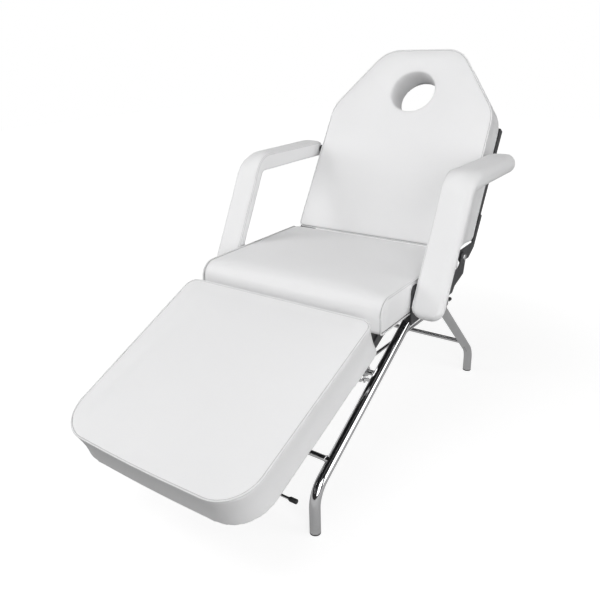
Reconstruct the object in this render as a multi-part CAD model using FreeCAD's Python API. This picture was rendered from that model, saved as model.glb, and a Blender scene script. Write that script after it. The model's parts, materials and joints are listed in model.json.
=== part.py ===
import FreeCAD, Part
import os
from math import atan2, cos, degrees, hypot, pi, radians, sin, tan

# Tattoo chair: a seat, a backrest and a leg rest, upholstered, on a chromed tube stand.
# X runs to the viewer's right, Y towards the head, Z up, in millimetres.
# Pieces are drawn with the seat's front edge at y = 0, and moved at the end
# so that the origin is under the middle of the whole chair, on the floor.

# Seat
seat_width = 624.0
seat_length = 508.0
seat_top = 572.0
seat_thickness = 98.0
seat_crown = 9.0
seat_front_roll = 46.0
seat_rear_roll = 24.0

# Backrest, whose places are taken from its recline axis with the backrest lying flat
back_rest_angle = 60.0
back_length = 675.0
back_thickness = 97.0
back_low_width = 624.0
back_shoulder_width = 606.0
back_shoulder_share = 0.69
back_neck_width = 330.0
back_neck_share = 0.958
back_top_width = 236.0
back_crown = 9.0
back_edge_roll = 20.0
back_end_roll = 26.0
back_bevel_angle = 30.0
face_hole_width = 160.0
face_hole_height = 146.0
face_hole_share = 0.785
face_hole_flare = 12.0

# Leg rest, whose places are taken from its hinge axis with the leg rest level
leg_rest_angle = 23.0
leg_rest_drop = 2.0
leg_rear_setback = 63.0
leg_length = 585.0
leg_thickness = 105.0
leg_rear_width = 632.0
leg_foot_width = 598.0
leg_foot_corner = 106.0
leg_rear_corner = 24.0
leg_crown = 9.0
leg_edge_roll = 14.0

# Upholstery
side_draw = 3.0
side_swell = 0.8
edge_crown = 0.6
low_edge_roll = 6.0
board_thickness = 12.0
board_margin = 14.0

# Recline axis, leg rest hinge axis and their bolts
recline_setback = 35.0
recline_z = 539.0
recline_bolt_radius = 6.0
recline_boss_radius = 18.0
leg_hinge_y = 60.0
leg_hinge_bolt_radius = 5.0
leg_hinge_boss_radius = 14.0
pin_head_height = 4.0
pin_head_share = 1.8

# Stand of bent tube
stand_half_width = 265.0
leg_tube_radius = 15.0
leg_tube_wall = 1.5
leg_bend_radius = 80.0
front_foot_y = -251.0
front_knee_z = 125.5
front_leg_top_y = 310.0
rear_foot_reach = 260.0
rear_knee_z = 82.0
rear_leg_top_inset = 80.0
foot_glide_thickness = 4.0
foot_plug_depth = 18.0
crossbar_radius = 8.0
front_crossbar_y = -174.0
front_crossbar_lift = 10.0
middle_crossbar_y = 80.0
rear_crossbar_inset = 58.0
rear_crossbar_lift = 3.0

# Seat frame of square tube
rail_size = 30.0
rail_wall = 1.5
rail_front_y = 12.0
rail_rear_inset = 38.0
front_cross_y = 185.0
rear_cross_inset = 76.0
plug_flange = 3.0
plug_depth = 16.0

# Side plates that carry the backrest and the armrests
plate_thickness = 4.0
plate_gap = 1.5
plate_strip_drop = 26.0
plate_waist = 40.0
plate_rear_low_drop = 56.0
plate_chamfer = 18.0

# Frames behind the backrest and under the leg rest
frame_tube = 25.0
frame_tube_wall = 1.5
back_tube_half_span = 305.0
back_tube_start = 75.0
back_tube_end = 460.0
back_plate_thickness = 5.0
back_plate_reach = 165.0
leg_tube_half_span = 280.5
leg_tube_start = 75.0
leg_tube_end = 500.0
leg_plate_thickness = 5.0
leg_plate_reach = 160.0

# Armrests, a linkage that keeps its top level
arm_seat_y = 190.0
arm_seat_z = 539.0
arm_bend_y = 336.0
arm_bend_z = 817.5
arm_inner_x = 319.5
arm_width = 91.5
arm_half_thickness = 23.0
arm_crown = 4.0
arm_edge_roll = 20.0
arm_end_round = 34.0
arm_low_half_thickness = 13.0
arm_low_crown = 1.5
arm_low_edge_roll = 10.5
arm_low_end_round = 28.0
arm_low_overhang = 70.0
arm_tip_setback = 5.0
arm_bar_width = 20.0
arm_bar_depth = 5.0
arm_bar_thickness = 6.0
arm_bar_inset = 0.3
arm_bolt_radius = 5.0
arm_spacer_radius = 9.0
arm_raise_limit = 10.0

# Rods and coil locks
rod_radius = 5.0
rod_eye_radius = 11.0
rod_eye_half = 5.5
rod_pin_radius = 4.0
clamp_ring_radius = 14.0
clamp_half_width = 11.0
clamp_cheek_thickness = 4.0
back_rod_x = 220.0
back_rod_z = 341.0
back_lock_setback = 57.0
back_lock_z = 325.0
back_rod_tail = 90.0
leg_rod_x = 150.0
leg_rod_pivot_forward = 26.0
leg_rod_pivot_drop = 8.0
leg_lock_reach = 464.0
leg_lock_drop = 68.0
leg_rod_tail = 128.0
lock_radius = 14.0
lock_half_length = 48.0
lock_boss_half = 16.0
trunnion_radius = 8.0
lock_side_gap = 1.0
lock_arm_thickness = 5.0
lock_arm_radius = 15.0
collar_width = 14.0
collar_radius = 16.5
collar_place = 40.0
lever_radius = 3.5
grip_radius = 6.0
grip_length = 24.0
back_lever_reach = 58.0
back_lever_drop = 12.0
leg_lever_reach = 156.0
rod_cap_radius = 7.0
rod_cap_length = 12.0

# Fits
running_gap = 0.06
seat_gap = 0.3
open_pivot_gap = 0.5
overrun = 5.0

recline_y = seat_length + recline_setback
rear_leg_top_y = seat_length - rear_leg_top_inset
rail_rear_y = seat_length - rail_rear_inset
rear_cross_y = seat_length - rear_cross_inset
back_lock_y = recline_y + back_lock_setback
rear_foot_y = recline_y + rear_foot_reach
rear_crossbar_y = rear_foot_y - rear_crossbar_inset

V = FreeCAD.Vector
X_AXIS = V(1, 0, 0)
SIDES = {"left": -1, "right": 1}
pieces = {}


def box(x_low, x_high, y_low, y_high, z_low, z_high):
    return Part.makeBox(x_high - x_low, y_high - y_low, z_high - z_low, V(x_low, y_low, z_low))


def cylinder_x(x_low, x_high, radius, y, z):
    return Part.makeCylinder(radius, x_high - x_low, V(x_low, y, z), X_AXIS)


def cylinder_between(start, end, radius):
    return Part.makeCylinder(radius, (end - start).Length, start, end - start)


def plate(x_low, thickness, outline):
    """A flat plate across X whose outline is given as (y, z) corners."""
    corners = [V(x_low, y, z) for y, z in outline]
    return Part.Face(Part.makePolygon(corners + corners[:1])).extrude(V(thickness, 0, 0))


def strap(x_low, thickness, start, end, radius):
    """A flat bar across X with round ends centred on two (y, z) points."""
    run = hypot(end[0] - start[0], end[1] - start[1])
    across_y = -(end[1] - start[1]) / run * radius
    across_z = (end[0] - start[0]) / run * radius
    middle = plate(x_low, thickness, [
        (start[0] + across_y, start[1] + across_z),
        (end[0] + across_y, end[1] + across_z),
        (end[0] - across_y, end[1] - across_z),
        (start[0] - across_y, start[1] - across_z),
    ])
    ends = [cylinder_x(x_low, x_low + thickness, radius, y, z) for y, z in (start, end)]
    return middle.multiFuse(ends).removeSplitter()


def square_tube(x_low, x_high, y_low, y_high, z_low, z_high, wall, along):
    """A square tube that is open at both ends of its run along X or Y."""
    in_x = 0 if along == "x" else wall
    in_y = 0 if along == "y" else wall
    outside = box(x_low, x_high, y_low, y_high, z_low, z_high)
    inside = box(x_low + in_x, x_high - in_x, y_low + in_y, y_high - in_y, z_low + wall, z_high - wall)
    return outside.cut(inside)


def mirrored(shape):
    return shape.mirror(V(0, 0, 0), X_AXIS)


def for_side(side, shape):
    """The right-hand shape as it is, or its mirror image for the left."""
    return shape if SIDES[side] > 0 else mirrored(shape)


def placed(shape, y, z, angle):
    """A copy drawn about the X axis, turned by the angle and carried to its pivot."""
    copy = shape.copy()
    copy.rotate(V(0, 0, 0), X_AXIS, angle)
    copy.translate(V(0, y, z))
    return copy


def world_point(local, pivot, angle):
    y = local[0] * cos(radians(angle)) - local[1] * sin(radians(angle))
    z = local[0] * sin(radians(angle)) + local[1] * cos(radians(angle))
    return pivot[0] + y, pivot[1] + z


def local_point(point, pivot, angle):
    return world_point((point[0] - pivot[0], point[1] - pivot[1]), (0, 0), -angle)


def pad_section(y, half_width, low, high, crown, low_roll, high_roll, middle_x=0):
    """One closed section of a pad across Y: flat below, crowned above, rounded upper corners."""
    corner = cos(pi / 4)
    waist = (low + low_roll + high - high_roll) / 2

    def arc(a, b, c):
        return Part.Arc(*[V(middle_x + x, y, z) for x, z in (a, b, c)]).toShape()

    def line(a, b):
        return Part.LineSegment(*[V(middle_x + x, y, z) for x, z in (a, b)]).toShape()

    def half(sign):
        flat = sign * (half_width - low_roll)
        wall = sign * half_width
        brow = sign * (half_width - high_roll + high_roll * corner)
        rim = sign * (half_width - high_roll)
        return [
            line((flat, low), (wall, low + low_roll)),
            arc((wall, low + low_roll), (wall + sign * side_swell, waist), (wall, high - high_roll)),
            arc((wall, high - high_roll), (brow, high - high_roll + high_roll * corner), (rim, high)),
        ]

    base = line((low_roll - half_width, low), (half_width - low_roll, low))
    rim_width = half_width - high_roll
    top = arc((rim_width, high), (0, high + max(crown, edge_crown)), (-rim_width, high))
    return Part.Wire([base] + half(1) + [top] + half(-1)[::-1])


def pad(stations):
    """A pad lofted through its sections."""
    return Part.makeLoft([pad_section(*station) for station in stations], True, True)


def roll_steps(radius, count):
    """Pairs of (distance in from the end, drop below full height) round a quarter turn."""
    angles = [pi / 2 * step / count for step in range(count)]
    return [(radius * (1 - cos(a)), radius * (1 - sin(a))) for a in angles]


# Shared levels
seat_bottom = seat_top - seat_thickness
rail_bottom = seat_bottom - rail_size
rail_inner_x = stand_half_width - rail_size / 2
rail_outer_x = stand_half_width + rail_size / 2
recline = (recline_y, recline_z)
leg_hinge = (leg_hinge_y, rail_bottom + rail_size / 2)
plate_x = seat_width / 2 + plate_gap
plate_outer_x = plate_x + plate_thickness


def front_leg_z(y):
    share = (y - front_foot_y) / (front_leg_top_y - front_foot_y)
    return front_knee_z + share * (rail_bottom - front_knee_z)


def rear_leg_z(y):
    share = (y - rear_foot_y) / (rear_leg_top_y - rear_foot_y)
    return rear_knee_z + share * (rail_bottom - rear_knee_z)


def bent_leg(x, foot_y, knee_z, top_y):
    """One leg's tube: up from the floor, round its bend, and straight on to the rail."""
    run = hypot(top_y - foot_y, rail_bottom - knee_z)
    ahead_y = (top_y - foot_y) / run
    ahead_z = (rail_bottom - knee_z) / run
    half_turn = atan2(abs(ahead_y), ahead_z) / 2
    tangent = leg_bend_radius * tan(half_turn)
    bend_side = 1 if ahead_y > 0 else -1
    foot = V(x, foot_y, foot_glide_thickness)
    bend_start = V(x, foot_y, knee_z - tangent)
    bend_end = V(x, foot_y + ahead_y * tangent, knee_z + ahead_z * tangent)
    bend_centre = V(x, foot_y + leg_bend_radius * bend_side, knee_z - tangent)
    ahead = V(0, ahead_y, ahead_z)
    top_run = run - tangent + leg_tube_radius + overrun * 2
    above = box(x - rail_size, x + rail_size, min(top_y, foot_y) - leg_bend_radius,
                max(top_y, foot_y) + leg_bend_radius, rail_bottom, seat_top)
    solids = []
    for radius in (leg_tube_radius, leg_tube_radius - leg_tube_wall):
        disc = Part.Face(Part.Wire([Part.makeCircle(radius, bend_start, V(0, 0, 1))]))
        bend = disc.revolve(bend_centre, V(-bend_side, 0, 0), degrees(half_turn) * 2)
        lower = cylinder_between(foot, bend_start, radius)
        upper = cylinder_between(bend_end, bend_end + ahead * top_run, radius)
        solids.append(lower.multiFuse([bend, upper]).cut(above))
    return solids[0], solids[0].cut(solids[1])


def make_stand():
    solid_legs = []
    for side, sign in SIDES.items():
        x = sign * stand_half_width
        for end, sizes in {
            "front": (front_foot_y, front_knee_z, front_leg_top_y),
            "rear": (rear_foot_y, rear_knee_z, rear_leg_top_y),
        }.items():
            outline, tube = bent_leg(x, *sizes)
            solid_legs.append(outline)
            pieces["leg_" + end + "_" + side] = tube
    glides = []
    for sign in SIDES.values():
        for foot_y in (front_foot_y, rear_foot_y):
            middle = V(sign * stand_half_width, foot_y, 0)
            foot = Part.makeCylinder(leg_tube_radius, foot_glide_thickness, middle)
            ribs = [middle + V(0, 0, foot_glide_thickness) + V(cos(radians(45 * turn)), sin(radians(45 * turn)), 0)
                    * (leg_tube_radius - leg_tube_wall) for turn in range(8)]
            plug = Part.Face(Part.makePolygon(ribs + ribs[:1])).extrude(V(0, 0, foot_plug_depth))
            glides.append(foot.fuse(plug))
    pieces["foot_glides"] = Part.makeCompound(glides)
    crossbars = {
        "front": (front_crossbar_y, front_leg_z(front_crossbar_y) + front_crossbar_lift),
        "middle": (middle_crossbar_y, front_leg_z(middle_crossbar_y)),
        "rear": (rear_crossbar_y, rear_leg_z(rear_crossbar_y) + rear_crossbar_lift),
    }
    for name, (y, z) in crossbars.items():
        bar = cylinder_x(-stand_half_width, stand_half_width, crossbar_radius, y, z)
        for outline in solid_legs:
            bar = bar.cut(outline)
        longest = max(bar.Solids, key=lambda solid: solid.Volume)
        pieces["crossbar_" + name] = longest
    return crossbars["middle"]


def make_seat_frame():
    for side in SIDES:
        rail = square_tube(rail_inner_x, rail_outer_x, rail_front_y, rail_rear_y,
                           rail_bottom, seat_bottom, rail_wall, "y")
        hole = cylinder_x(rail_inner_x - overrun, rail_outer_x + overrun, leg_hinge_bolt_radius, *leg_hinge)
        pieces["seat_rail_" + side] = for_side(side, rail.cut(hole))
    for name, y in {"front": front_cross_y, "rear": rear_cross_y}.items():
        pieces["seat_cross_" + name] = square_tube(-rail_inner_x, rail_inner_x, y, y + rail_size,
                                                   rail_bottom, seat_bottom, rail_wall, "x")
    plugs = []
    for side in SIDES:
        flange = box(rail_inner_x, rail_outer_x, rail_front_y - plug_flange, rail_front_y,
                     rail_bottom, seat_bottom)
        tongue = box(rail_inner_x + rail_wall, rail_outer_x - rail_wall, rail_front_y, rail_front_y + plug_depth,
                     rail_bottom + rail_wall, seat_bottom - rail_wall)
        plugs.append(for_side(side, flange.fuse(tongue)))
    pieces["rail_plugs"] = Part.makeCompound(plugs)


def make_side_plates():
    """Pressed plates beside the seat with the recline axis behind and the armrest pivot ahead."""
    arm_boss_radius = recline_boss_radius + plate_thickness
    top = recline_z - plate_strip_drop
    front_y = arm_seat_y - arm_boss_radius
    rear_y = recline_y + recline_boss_radius
    rear_low_z = recline_z - plate_rear_low_drop
    outline = [
        (front_y, rail_bottom),
        (rear_cross_y + rail_size, rail_bottom),
        (rear_cross_y + rail_size + plate_chamfer, rail_bottom + plate_chamfer),
        (recline_y + plate_thickness, rear_low_z),
        (rear_y, recline_z),
        (recline_y - recline_boss_radius, recline_z),
        (recline_y - plate_waist, top),
        (arm_seat_y + plate_waist, top),
        (arm_seat_y + arm_boss_radius, arm_seat_z),
        (front_y, arm_seat_z),
    ]
    blank = plate(plate_x, plate_thickness, outline)
    bosses = [
        cylinder_x(plate_x, plate_outer_x, recline_boss_radius, *recline),
        cylinder_x(plate_x, plate_outer_x, arm_boss_radius, arm_seat_y, arm_seat_z),
        cylinder_x(back_tube_half_span + back_plate_thickness + seat_gap, plate_x,
                   recline_boss_radius / 2, *recline),
    ]
    outriggers = [
        box(rail_outer_x, plate_x, y, y + rail_size, rail_bottom, seat_bottom)
        for y in (front_cross_y, rear_cross_y)
    ]
    hole = cylinder_x(plate_x - overrun * 2, plate_outer_x + overrun, recline_bolt_radius, *recline)
    whole = blank.multiFuse(bosses + outriggers).removeSplitter().cut(hole)
    for side in SIDES:
        pieces["seat_side_plate_" + side] = for_side(side, whole)


def make_seat():
    half = seat_width / 2
    front = [(inset, seat_top - drop, inset) for inset, drop in roll_steps(seat_front_roll, 4)]
    rear = [(seat_length - inset, seat_top - drop, inset) for inset, drop in roll_steps(seat_rear_roll, 3)]
    middle_shares = (0.14, 0.5, 0.86)
    stations = []
    for y, top, inset in front:
        crown = seat_crown * inset / seat_front_roll
        stations.append((y, half, seat_bottom, top, crown, low_edge_roll, leg_edge_roll))
    for share in middle_shares:
        drawn = half - side_draw * sin(pi * share)
        stations.append((seat_length * share, drawn, seat_bottom, seat_top, seat_crown,
                         low_edge_roll, leg_edge_roll))
    for y, top, inset in rear[::-1]:
        crown = seat_crown * inset / seat_rear_roll
        stations.append((y, half, seat_bottom, top, crown, low_edge_roll, leg_edge_roll))
    board = box(board_margin - half, half - board_margin, board_margin, seat_length - board_margin,
                seat_bottom, seat_bottom + board_thickness)
    pieces["seat_cushion"] = pad(stations).cut(board)
    pieces["seat_board"] = board


# Backrest, drawn lying flat about its recline axis
back_top = seat_top - recline_z
back_bottom = back_top - back_thickness
back_start = 10.0
back_end = back_start + back_length
bevel_run = back_thickness * tan(radians(back_bevel_angle))
face_hole_y = back_start + back_length * face_hole_share


def back_half_width(share):
    """Half the backrest's width at a share of its length, from its waist to its tapered head."""
    if share <= back_shoulder_share:
        straight = back_low_width + (back_shoulder_width - back_low_width) * share / back_shoulder_share
        return straight / 2 - side_draw * sin(pi * share / back_shoulder_share)
    taper = (share - back_shoulder_share) / (back_neck_share - back_shoulder_share)
    if taper <= 1:
        return (back_shoulder_width + (back_neck_width - back_shoulder_width) * taper) / 2
    tip = (share - back_neck_share) / (1 - back_neck_share)
    return (back_neck_width + (back_top_width - back_neck_width) * tip * tip) / 2


def ellipse_wire(half_x, half_y, y, z):
    """An ellipse across Z as a wire, with the longer half along X."""
    return Part.Wire([Part.Ellipse(V(0, y, z), half_x, half_y).toShape()])


def back_outline(margin, z_low, z_high):
    """A flat panel of the backrest's outline, set in by a margin and cut along the bevel."""
    lower = back_start + bevel_run + margin
    half_low = back_low_width / 2 - margin
    half_shoulder = back_shoulder_width / 2 - margin
    half_neck = back_neck_width / 2 - margin
    half_top = back_top_width / 2 - margin
    shoulder_y = back_start + back_length * back_shoulder_share - margin / 2
    neck_y = back_start + back_length * back_neck_share - margin
    corners = [
        (half_low, lower), (half_shoulder, shoulder_y), (half_neck, neck_y), (half_top, back_end - margin),
        (-half_top, back_end - margin), (-half_neck, neck_y), (-half_shoulder, shoulder_y), (-half_low, lower),
    ]
    points = [V(x, y, z_low) for x, y in corners]
    return Part.Face(Part.makePolygon(points + points[:1])).extrude(V(0, 0, z_high - z_low))


def make_back():
    stations = []
    for inset, drop in roll_steps(back_edge_roll, 3):
        crown = back_crown * inset / back_edge_roll
        stations.append((back_start + inset, back_half_width(0), back_bottom, back_top - drop, crown,
                         low_edge_roll, back_edge_roll))
    body_shares = (0.1, 0.35, 0.6, 0.67)
    head_shares = (0.71, 0.8, 0.925)
    for share in body_shares + head_shares:
        stations.append((back_start + back_length * share, back_half_width(share), back_bottom, back_top,
                         back_crown, low_edge_roll, back_edge_roll))
    for inset, drop in roll_steps(back_end_roll, 3)[::-1]:
        share = 1 - inset / back_length
        crown = back_crown * inset / back_end_roll
        stations.append((back_start + back_length * share, back_half_width(share), back_bottom,
                         back_top - drop, crown, low_edge_roll, back_edge_roll))
    cushion = pad(stations)
    below_bevel = placed(
        box(-back_low_width, back_low_width, -back_thickness * 2, 0, -back_thickness * 2, back_thickness),
        back_start, back_top, back_bevel_angle)
    cushion = cushion.cut(below_bevel)
    half_x = face_hole_width / 2
    half_y = face_hole_height / 2
    hole = Part.makeLoft([
        ellipse_wire(half_x, half_y, face_hole_y, back_bottom - overrun),
        ellipse_wire(half_x, half_y, face_hole_y, back_top + back_crown + overrun * 2),
    ], True, True)
    flare = Part.makeLoft([
        ellipse_wire(half_x, half_y, face_hole_y, back_top - face_hole_flare),
        ellipse_wire(half_x + face_hole_flare / 4, half_y + face_hole_flare / 4, face_hole_y, back_top),
        ellipse_wire(half_x + face_hole_flare, half_y + face_hole_flare, face_hole_y,
                     back_top + back_crown + overrun),
    ], True, True)
    pocket = back_outline(board_margin, back_bottom, back_bottom + board_thickness)
    cushion = cushion.cut(hole).cut(flare).cut(pocket)
    rest = (*recline, back_rest_angle)
    pieces["back_cushion"] = placed(cushion, *rest)
    pieces["back_board"] = placed(pocket.cut(hole), *rest)


def make_back_frame(lock_local, arm_local):
    rest = (*recline, back_rest_angle)
    low = back_bottom - frame_tube
    inner_x = back_tube_half_span - frame_tube
    for side in SIDES:
        tube = square_tube(inner_x, back_tube_half_span, back_tube_start, back_tube_end,
                           low, back_bottom, frame_tube_wall, "y")
        pieces["back_tube_" + side] = placed(for_side(side, tube), *rest)
    lower_cross_y = back_tube_start + frame_tube_wall
    for name, y in {"lower": lower_cross_y, "upper": back_tube_end - frame_tube}.items():
        tube = square_tube(-inner_x, inner_x, y, y + frame_tube, low, back_bottom, frame_tube_wall, "x")
        pieces["back_cross_" + name] = placed(tube, *rest)

    plate_low_x = back_tube_half_span
    plate_top = back_bottom - seat_gap * 6
    slope = tan(radians(back_bevel_angle))

    def bevel_y(z):
        return back_start - seat_gap * 6 + (back_top - z) * slope

    brow_z = recline_boss_radius + plate_thickness
    hinge_outline = [
        (-recline_boss_radius / 2, recline_boss_radius * 0.8),
        (bevel_y(brow_z), brow_z),
        (bevel_y(plate_top), plate_top),
        (back_plate_reach, plate_top),
        (back_plate_reach, low + frame_tube_wall),
        (back_tube_start - plate_chamfer, low + frame_tube_wall),
        (recline_boss_radius * 0.8, back_bottom),
        (-recline_boss_radius * 0.9, -recline_boss_radius / 2),
    ]
    hinge = plate(plate_low_x, back_plate_thickness, hinge_outline)
    boss = cylinder_x(plate_low_x, plate_low_x + back_plate_thickness, recline_boss_radius, 0, 0)
    hole = cylinder_x(plate_low_x - overrun, plate_low_x + back_plate_thickness + overrun,
                      recline_bolt_radius + running_gap, 0, 0)
    hinge = hinge.fuse(boss).removeSplitter().cut(hole)
    pieces["back_hinge_plates"] = placed(Part.makeCompound([hinge, mirrored(hinge)]), *rest)

    bracket_low = back_bottom - frame_tube * 0.85
    bracket_half = recline_boss_radius * 0.85
    bracket = plate(plate_x, plate_thickness, [
        (arm_local[0] - bracket_half, bracket_low),
        (arm_local[0] + bracket_half, bracket_low),
        (arm_local[0] + bracket_half, arm_local[1]),
        (arm_local[0] - bracket_half, arm_local[1]),
    ])
    bracket_end = cylinder_x(plate_x, plate_outer_x, bracket_half, *arm_local)
    bracket_foot = box(back_tube_half_span, plate_x, arm_local[0] - bracket_half, arm_local[0] + bracket_half,
                       bracket_low, back_bottom - seat_gap * 6)
    bracket = bracket.multiFuse([bracket_end, bracket_foot]).removeSplitter()
    pieces["arm_brackets"] = placed(Part.makeCompound([bracket, mirrored(bracket)]), *rest)

    arms = []
    pins = []
    lower_cross_end = lower_cross_y + frame_tube
    for sign in (-1, 1):
        inner = lock_side_gap + lock_boss_half
        x_low = back_rod_x + (inner if sign > 0 else -inner - lock_arm_thickness)
        web = plate(x_low, lock_arm_thickness, [
            (lock_local[0], lock_local[1] - lock_arm_radius),
            (lower_cross_end, low - lock_arm_radius),
            (lower_cross_end, low),
            (lower_cross_y, low),
            (lock_local[0], lock_local[1] + lock_arm_radius),
        ])
        end = cylinder_x(x_low, x_low + lock_arm_thickness, lock_arm_radius, *lock_local)
        hole = cylinder_x(x_low - overrun, x_low + lock_arm_thickness + overrun, arm_bolt_radius, *lock_local)
        arms.append(web.fuse(end).removeSplitter().cut(hole))
        pin_inner = lock_boss_half + seat_gap
        head_start = inner + lock_arm_thickness
        head_end = head_start + lever_radius
        shank, head = [
            draw(back_rod_x + min(sign * a, sign * b), back_rod_x + max(sign * a, sign * b), r, *lock_local)
            for draw, a, b, r in ((cylinder_x, pin_inner, head_start, arm_bolt_radius),
                                  (hex_head, head_start, head_end, trunnion_radius))
        ]
        pins.append(shank.fuse(head))
    pieces["back_lock_arms"] = placed(Part.makeCompound(arms), *rest)
    pieces["back_lock_pins"] = placed(Part.makeCompound(pins), *rest)


# Leg rest, drawn level about its hinge axis, running towards minus Y
leg_top = seat_top - leg_hinge[1] - leg_rest_drop
leg_bottom = leg_top - leg_thickness
leg_start = -leg_rear_setback
leg_end = leg_start - leg_length


def leg_half_width(distance):
    """Half the leg rest's width at a distance from its seat end."""
    share = distance / leg_length
    straight = (leg_rear_width + (leg_foot_width - leg_rear_width) * share) / 2
    straight -= side_draw * sin(pi * share)
    to_end = leg_length - distance
    if distance < leg_rear_corner:
        in_corner = leg_rear_corner - distance
        straight -= leg_rear_corner - (leg_rear_corner ** 2 - in_corner ** 2) ** 0.5
    if to_end < leg_foot_corner:
        in_corner = leg_foot_corner - to_end
        straight -= leg_foot_corner - (leg_foot_corner ** 2 - in_corner ** 2) ** 0.5
    return straight


def leg_outline(margin, z_low, z_high):
    """A flat panel of the leg rest's outline, set in by a margin."""
    rear = leg_start - margin
    foot = leg_end + margin
    half_rear = leg_rear_width / 2 - margin
    half_foot = leg_foot_width / 2 - margin
    cut = leg_foot_corner * (1 - cos(pi / 4)) + margin / 2
    corners = [
        (half_rear, rear), (half_foot, foot + leg_foot_corner), (half_foot - cut, foot + cut),
        (half_foot - leg_foot_corner, foot), (leg_foot_corner - half_foot, foot),
        (cut - half_foot, foot + cut), (-half_foot, foot + leg_foot_corner), (-half_rear, rear),
    ]
    points = [V(x, y, z_low) for x, y in corners]
    return Part.Face(Part.makePolygon(points + points[:1])).extrude(V(0, 0, z_high - z_low))


def make_leg_rest():
    corner_shares = (0.0, 0.2, 0.5, 1.0)
    middle_shares = (0.18, 0.5)
    foot_shares = (1.0, 0.6, 0.32, 0.13, 0.03, 0.0)
    distances = [leg_rear_corner * share for share in corner_shares]
    distances += [leg_length * share for share in middle_shares]
    distances += [leg_length - leg_foot_corner * share for share in foot_shares]
    stations = []
    for distance in distances:
        crown = leg_crown * min(1, distance / leg_foot_corner, (leg_length - distance) / leg_foot_corner)
        stations.append((leg_start - distance, leg_half_width(distance), leg_bottom, leg_top, crown,
                         low_edge_roll, leg_edge_roll))
    board = leg_outline(board_margin, leg_bottom, leg_bottom + board_thickness)
    cushion = pad(stations).cut(board)
    rest = (*leg_hinge, leg_rest_angle)
    pieces["leg_cushion"] = placed(cushion, *rest)
    pieces["leg_board"] = placed(board, *rest)

    low = leg_bottom - frame_tube
    inner_x = leg_tube_half_span - frame_tube
    for side in SIDES:
        tube = square_tube(inner_x, leg_tube_half_span, -leg_tube_end, -leg_tube_start,
                           low, leg_bottom, frame_tube_wall, "y")
        pieces["leg_tube_" + side] = placed(for_side(side, tube), *rest)
    for name, y in {"front": -leg_tube_end, "rear": -leg_tube_start - frame_tube * 2}.items():
        tube = square_tube(-inner_x, inner_x, y, y + frame_tube, low, leg_bottom, frame_tube_wall, "x")
        pieces["leg_cross_" + name] = placed(tube, *rest)

    plate_end_x = leg_tube_half_span + leg_plate_thickness
    hinge = plate(leg_tube_half_span, leg_plate_thickness, [
        (0, -leg_hinge_boss_radius), (0, leg_hinge_boss_radius),
        (leg_start, leg_bottom - seat_gap), (-leg_plate_reach, leg_bottom - seat_gap),
        (-leg_plate_reach, low + frame_tube_wall), (-leg_tube_start, low + frame_tube_wall),
    ])
    boss = cylinder_x(leg_tube_half_span, plate_end_x, leg_hinge_boss_radius, 0, 0)
    hole = cylinder_x(leg_tube_half_span - overrun, plate_end_x + overrun,
                      leg_hinge_bolt_radius + running_gap, 0, 0)
    hinge = hinge.fuse(boss).removeSplitter().cut(hole)
    pieces["leg_hinge_plates"] = placed(Part.makeCompound([hinge, mirrored(hinge)]), *rest)

    lugs = []
    lock_local = (-leg_lock_reach, -leg_lock_drop)
    for sign in (-1, 1):
        inner = lock_side_gap + lock_boss_half
        x_low = leg_rod_x + (inner if sign > 0 else -inner - lock_arm_thickness)
        web = plate(x_low, lock_arm_thickness, [
            (-leg_tube_end, low), (-leg_tube_end + frame_tube, low),
            (lock_local[0] + lock_arm_radius, lock_local[1]), (lock_local[0] - lock_arm_radius, lock_local[1]),
        ])
        end = cylinder_x(x_low, x_low + lock_arm_thickness, lock_arm_radius, *lock_local)
        pin_from = lock_boss_half + seat_gap
        pin_to = inner + lock_arm_thickness + lever_radius
        stub = cylinder_x(leg_rod_x + min(sign * pin_from, sign * pin_to),
                          leg_rod_x + max(sign * pin_from, sign * pin_to), arm_bolt_radius, *lock_local)
        lugs.append(web.multiFuse([end, stub]).removeSplitter())
    pieces["leg_lock_lugs"] = placed(Part.makeCompound(lugs), *rest)
    return world_point(lock_local, leg_hinge, leg_rest_angle)


def hex_head(x_low, x_high, radius, y, z):
    """A hexagonal bolt head across X; the radius is to its corners."""
    corners = [(y + radius * cos(radians(60 * turn)), z + radius * sin(radians(60 * turn))) for turn in range(6)]
    return plate(x_low, x_high - x_low, corners)


def pin(steps, heads, y, z):
    """A bolt along X: a cylinder for each step and a hexagon for each head, each (from, to, radius)."""
    first, *others = [cylinder_x(x_low, x_high, radius, y, z) for x_low, x_high, radius in steps]
    others += [hex_head(x_low, x_high, radius, y, z) for x_low, x_high, radius in heads]
    return first.multiFuse(others).removeSplitter()


def ring_x(x_low, x_high, outer, inner, y, z):
    return cylinder_x(x_low, x_high, outer, y, z).cut(cylinder_x(x_low, x_high, inner, y, z))


def make_hinge_pins():
    """The recline axis and the leg rest's hinge, bolts with a head at each end."""
    inner = back_tube_half_span - seat_gap
    recline_pin = pin([(inner, plate_outer_x, recline_bolt_radius)], [
        (inner - pin_head_height, inner, recline_bolt_radius * pin_head_share),
        (plate_outer_x, plate_outer_x + pin_head_height, recline_bolt_radius * pin_head_share),
    ], *recline)
    pieces["recline_pins"] = Part.makeCompound([recline_pin, mirrored(recline_pin)])
    outer = leg_tube_half_span + leg_plate_thickness + seat_gap
    leg_pin = pin([(rail_inner_x, outer, leg_hinge_bolt_radius)], [
        (rail_inner_x - pin_head_height, rail_inner_x, leg_hinge_bolt_radius * pin_head_share),
        (outer, outer + pin_head_height, leg_hinge_bolt_radius * pin_head_share),
    ], *leg_hinge)
    pieces["leg_hinge_pins"] = Part.makeCompound([leg_pin, mirrored(leg_pin)])


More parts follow.
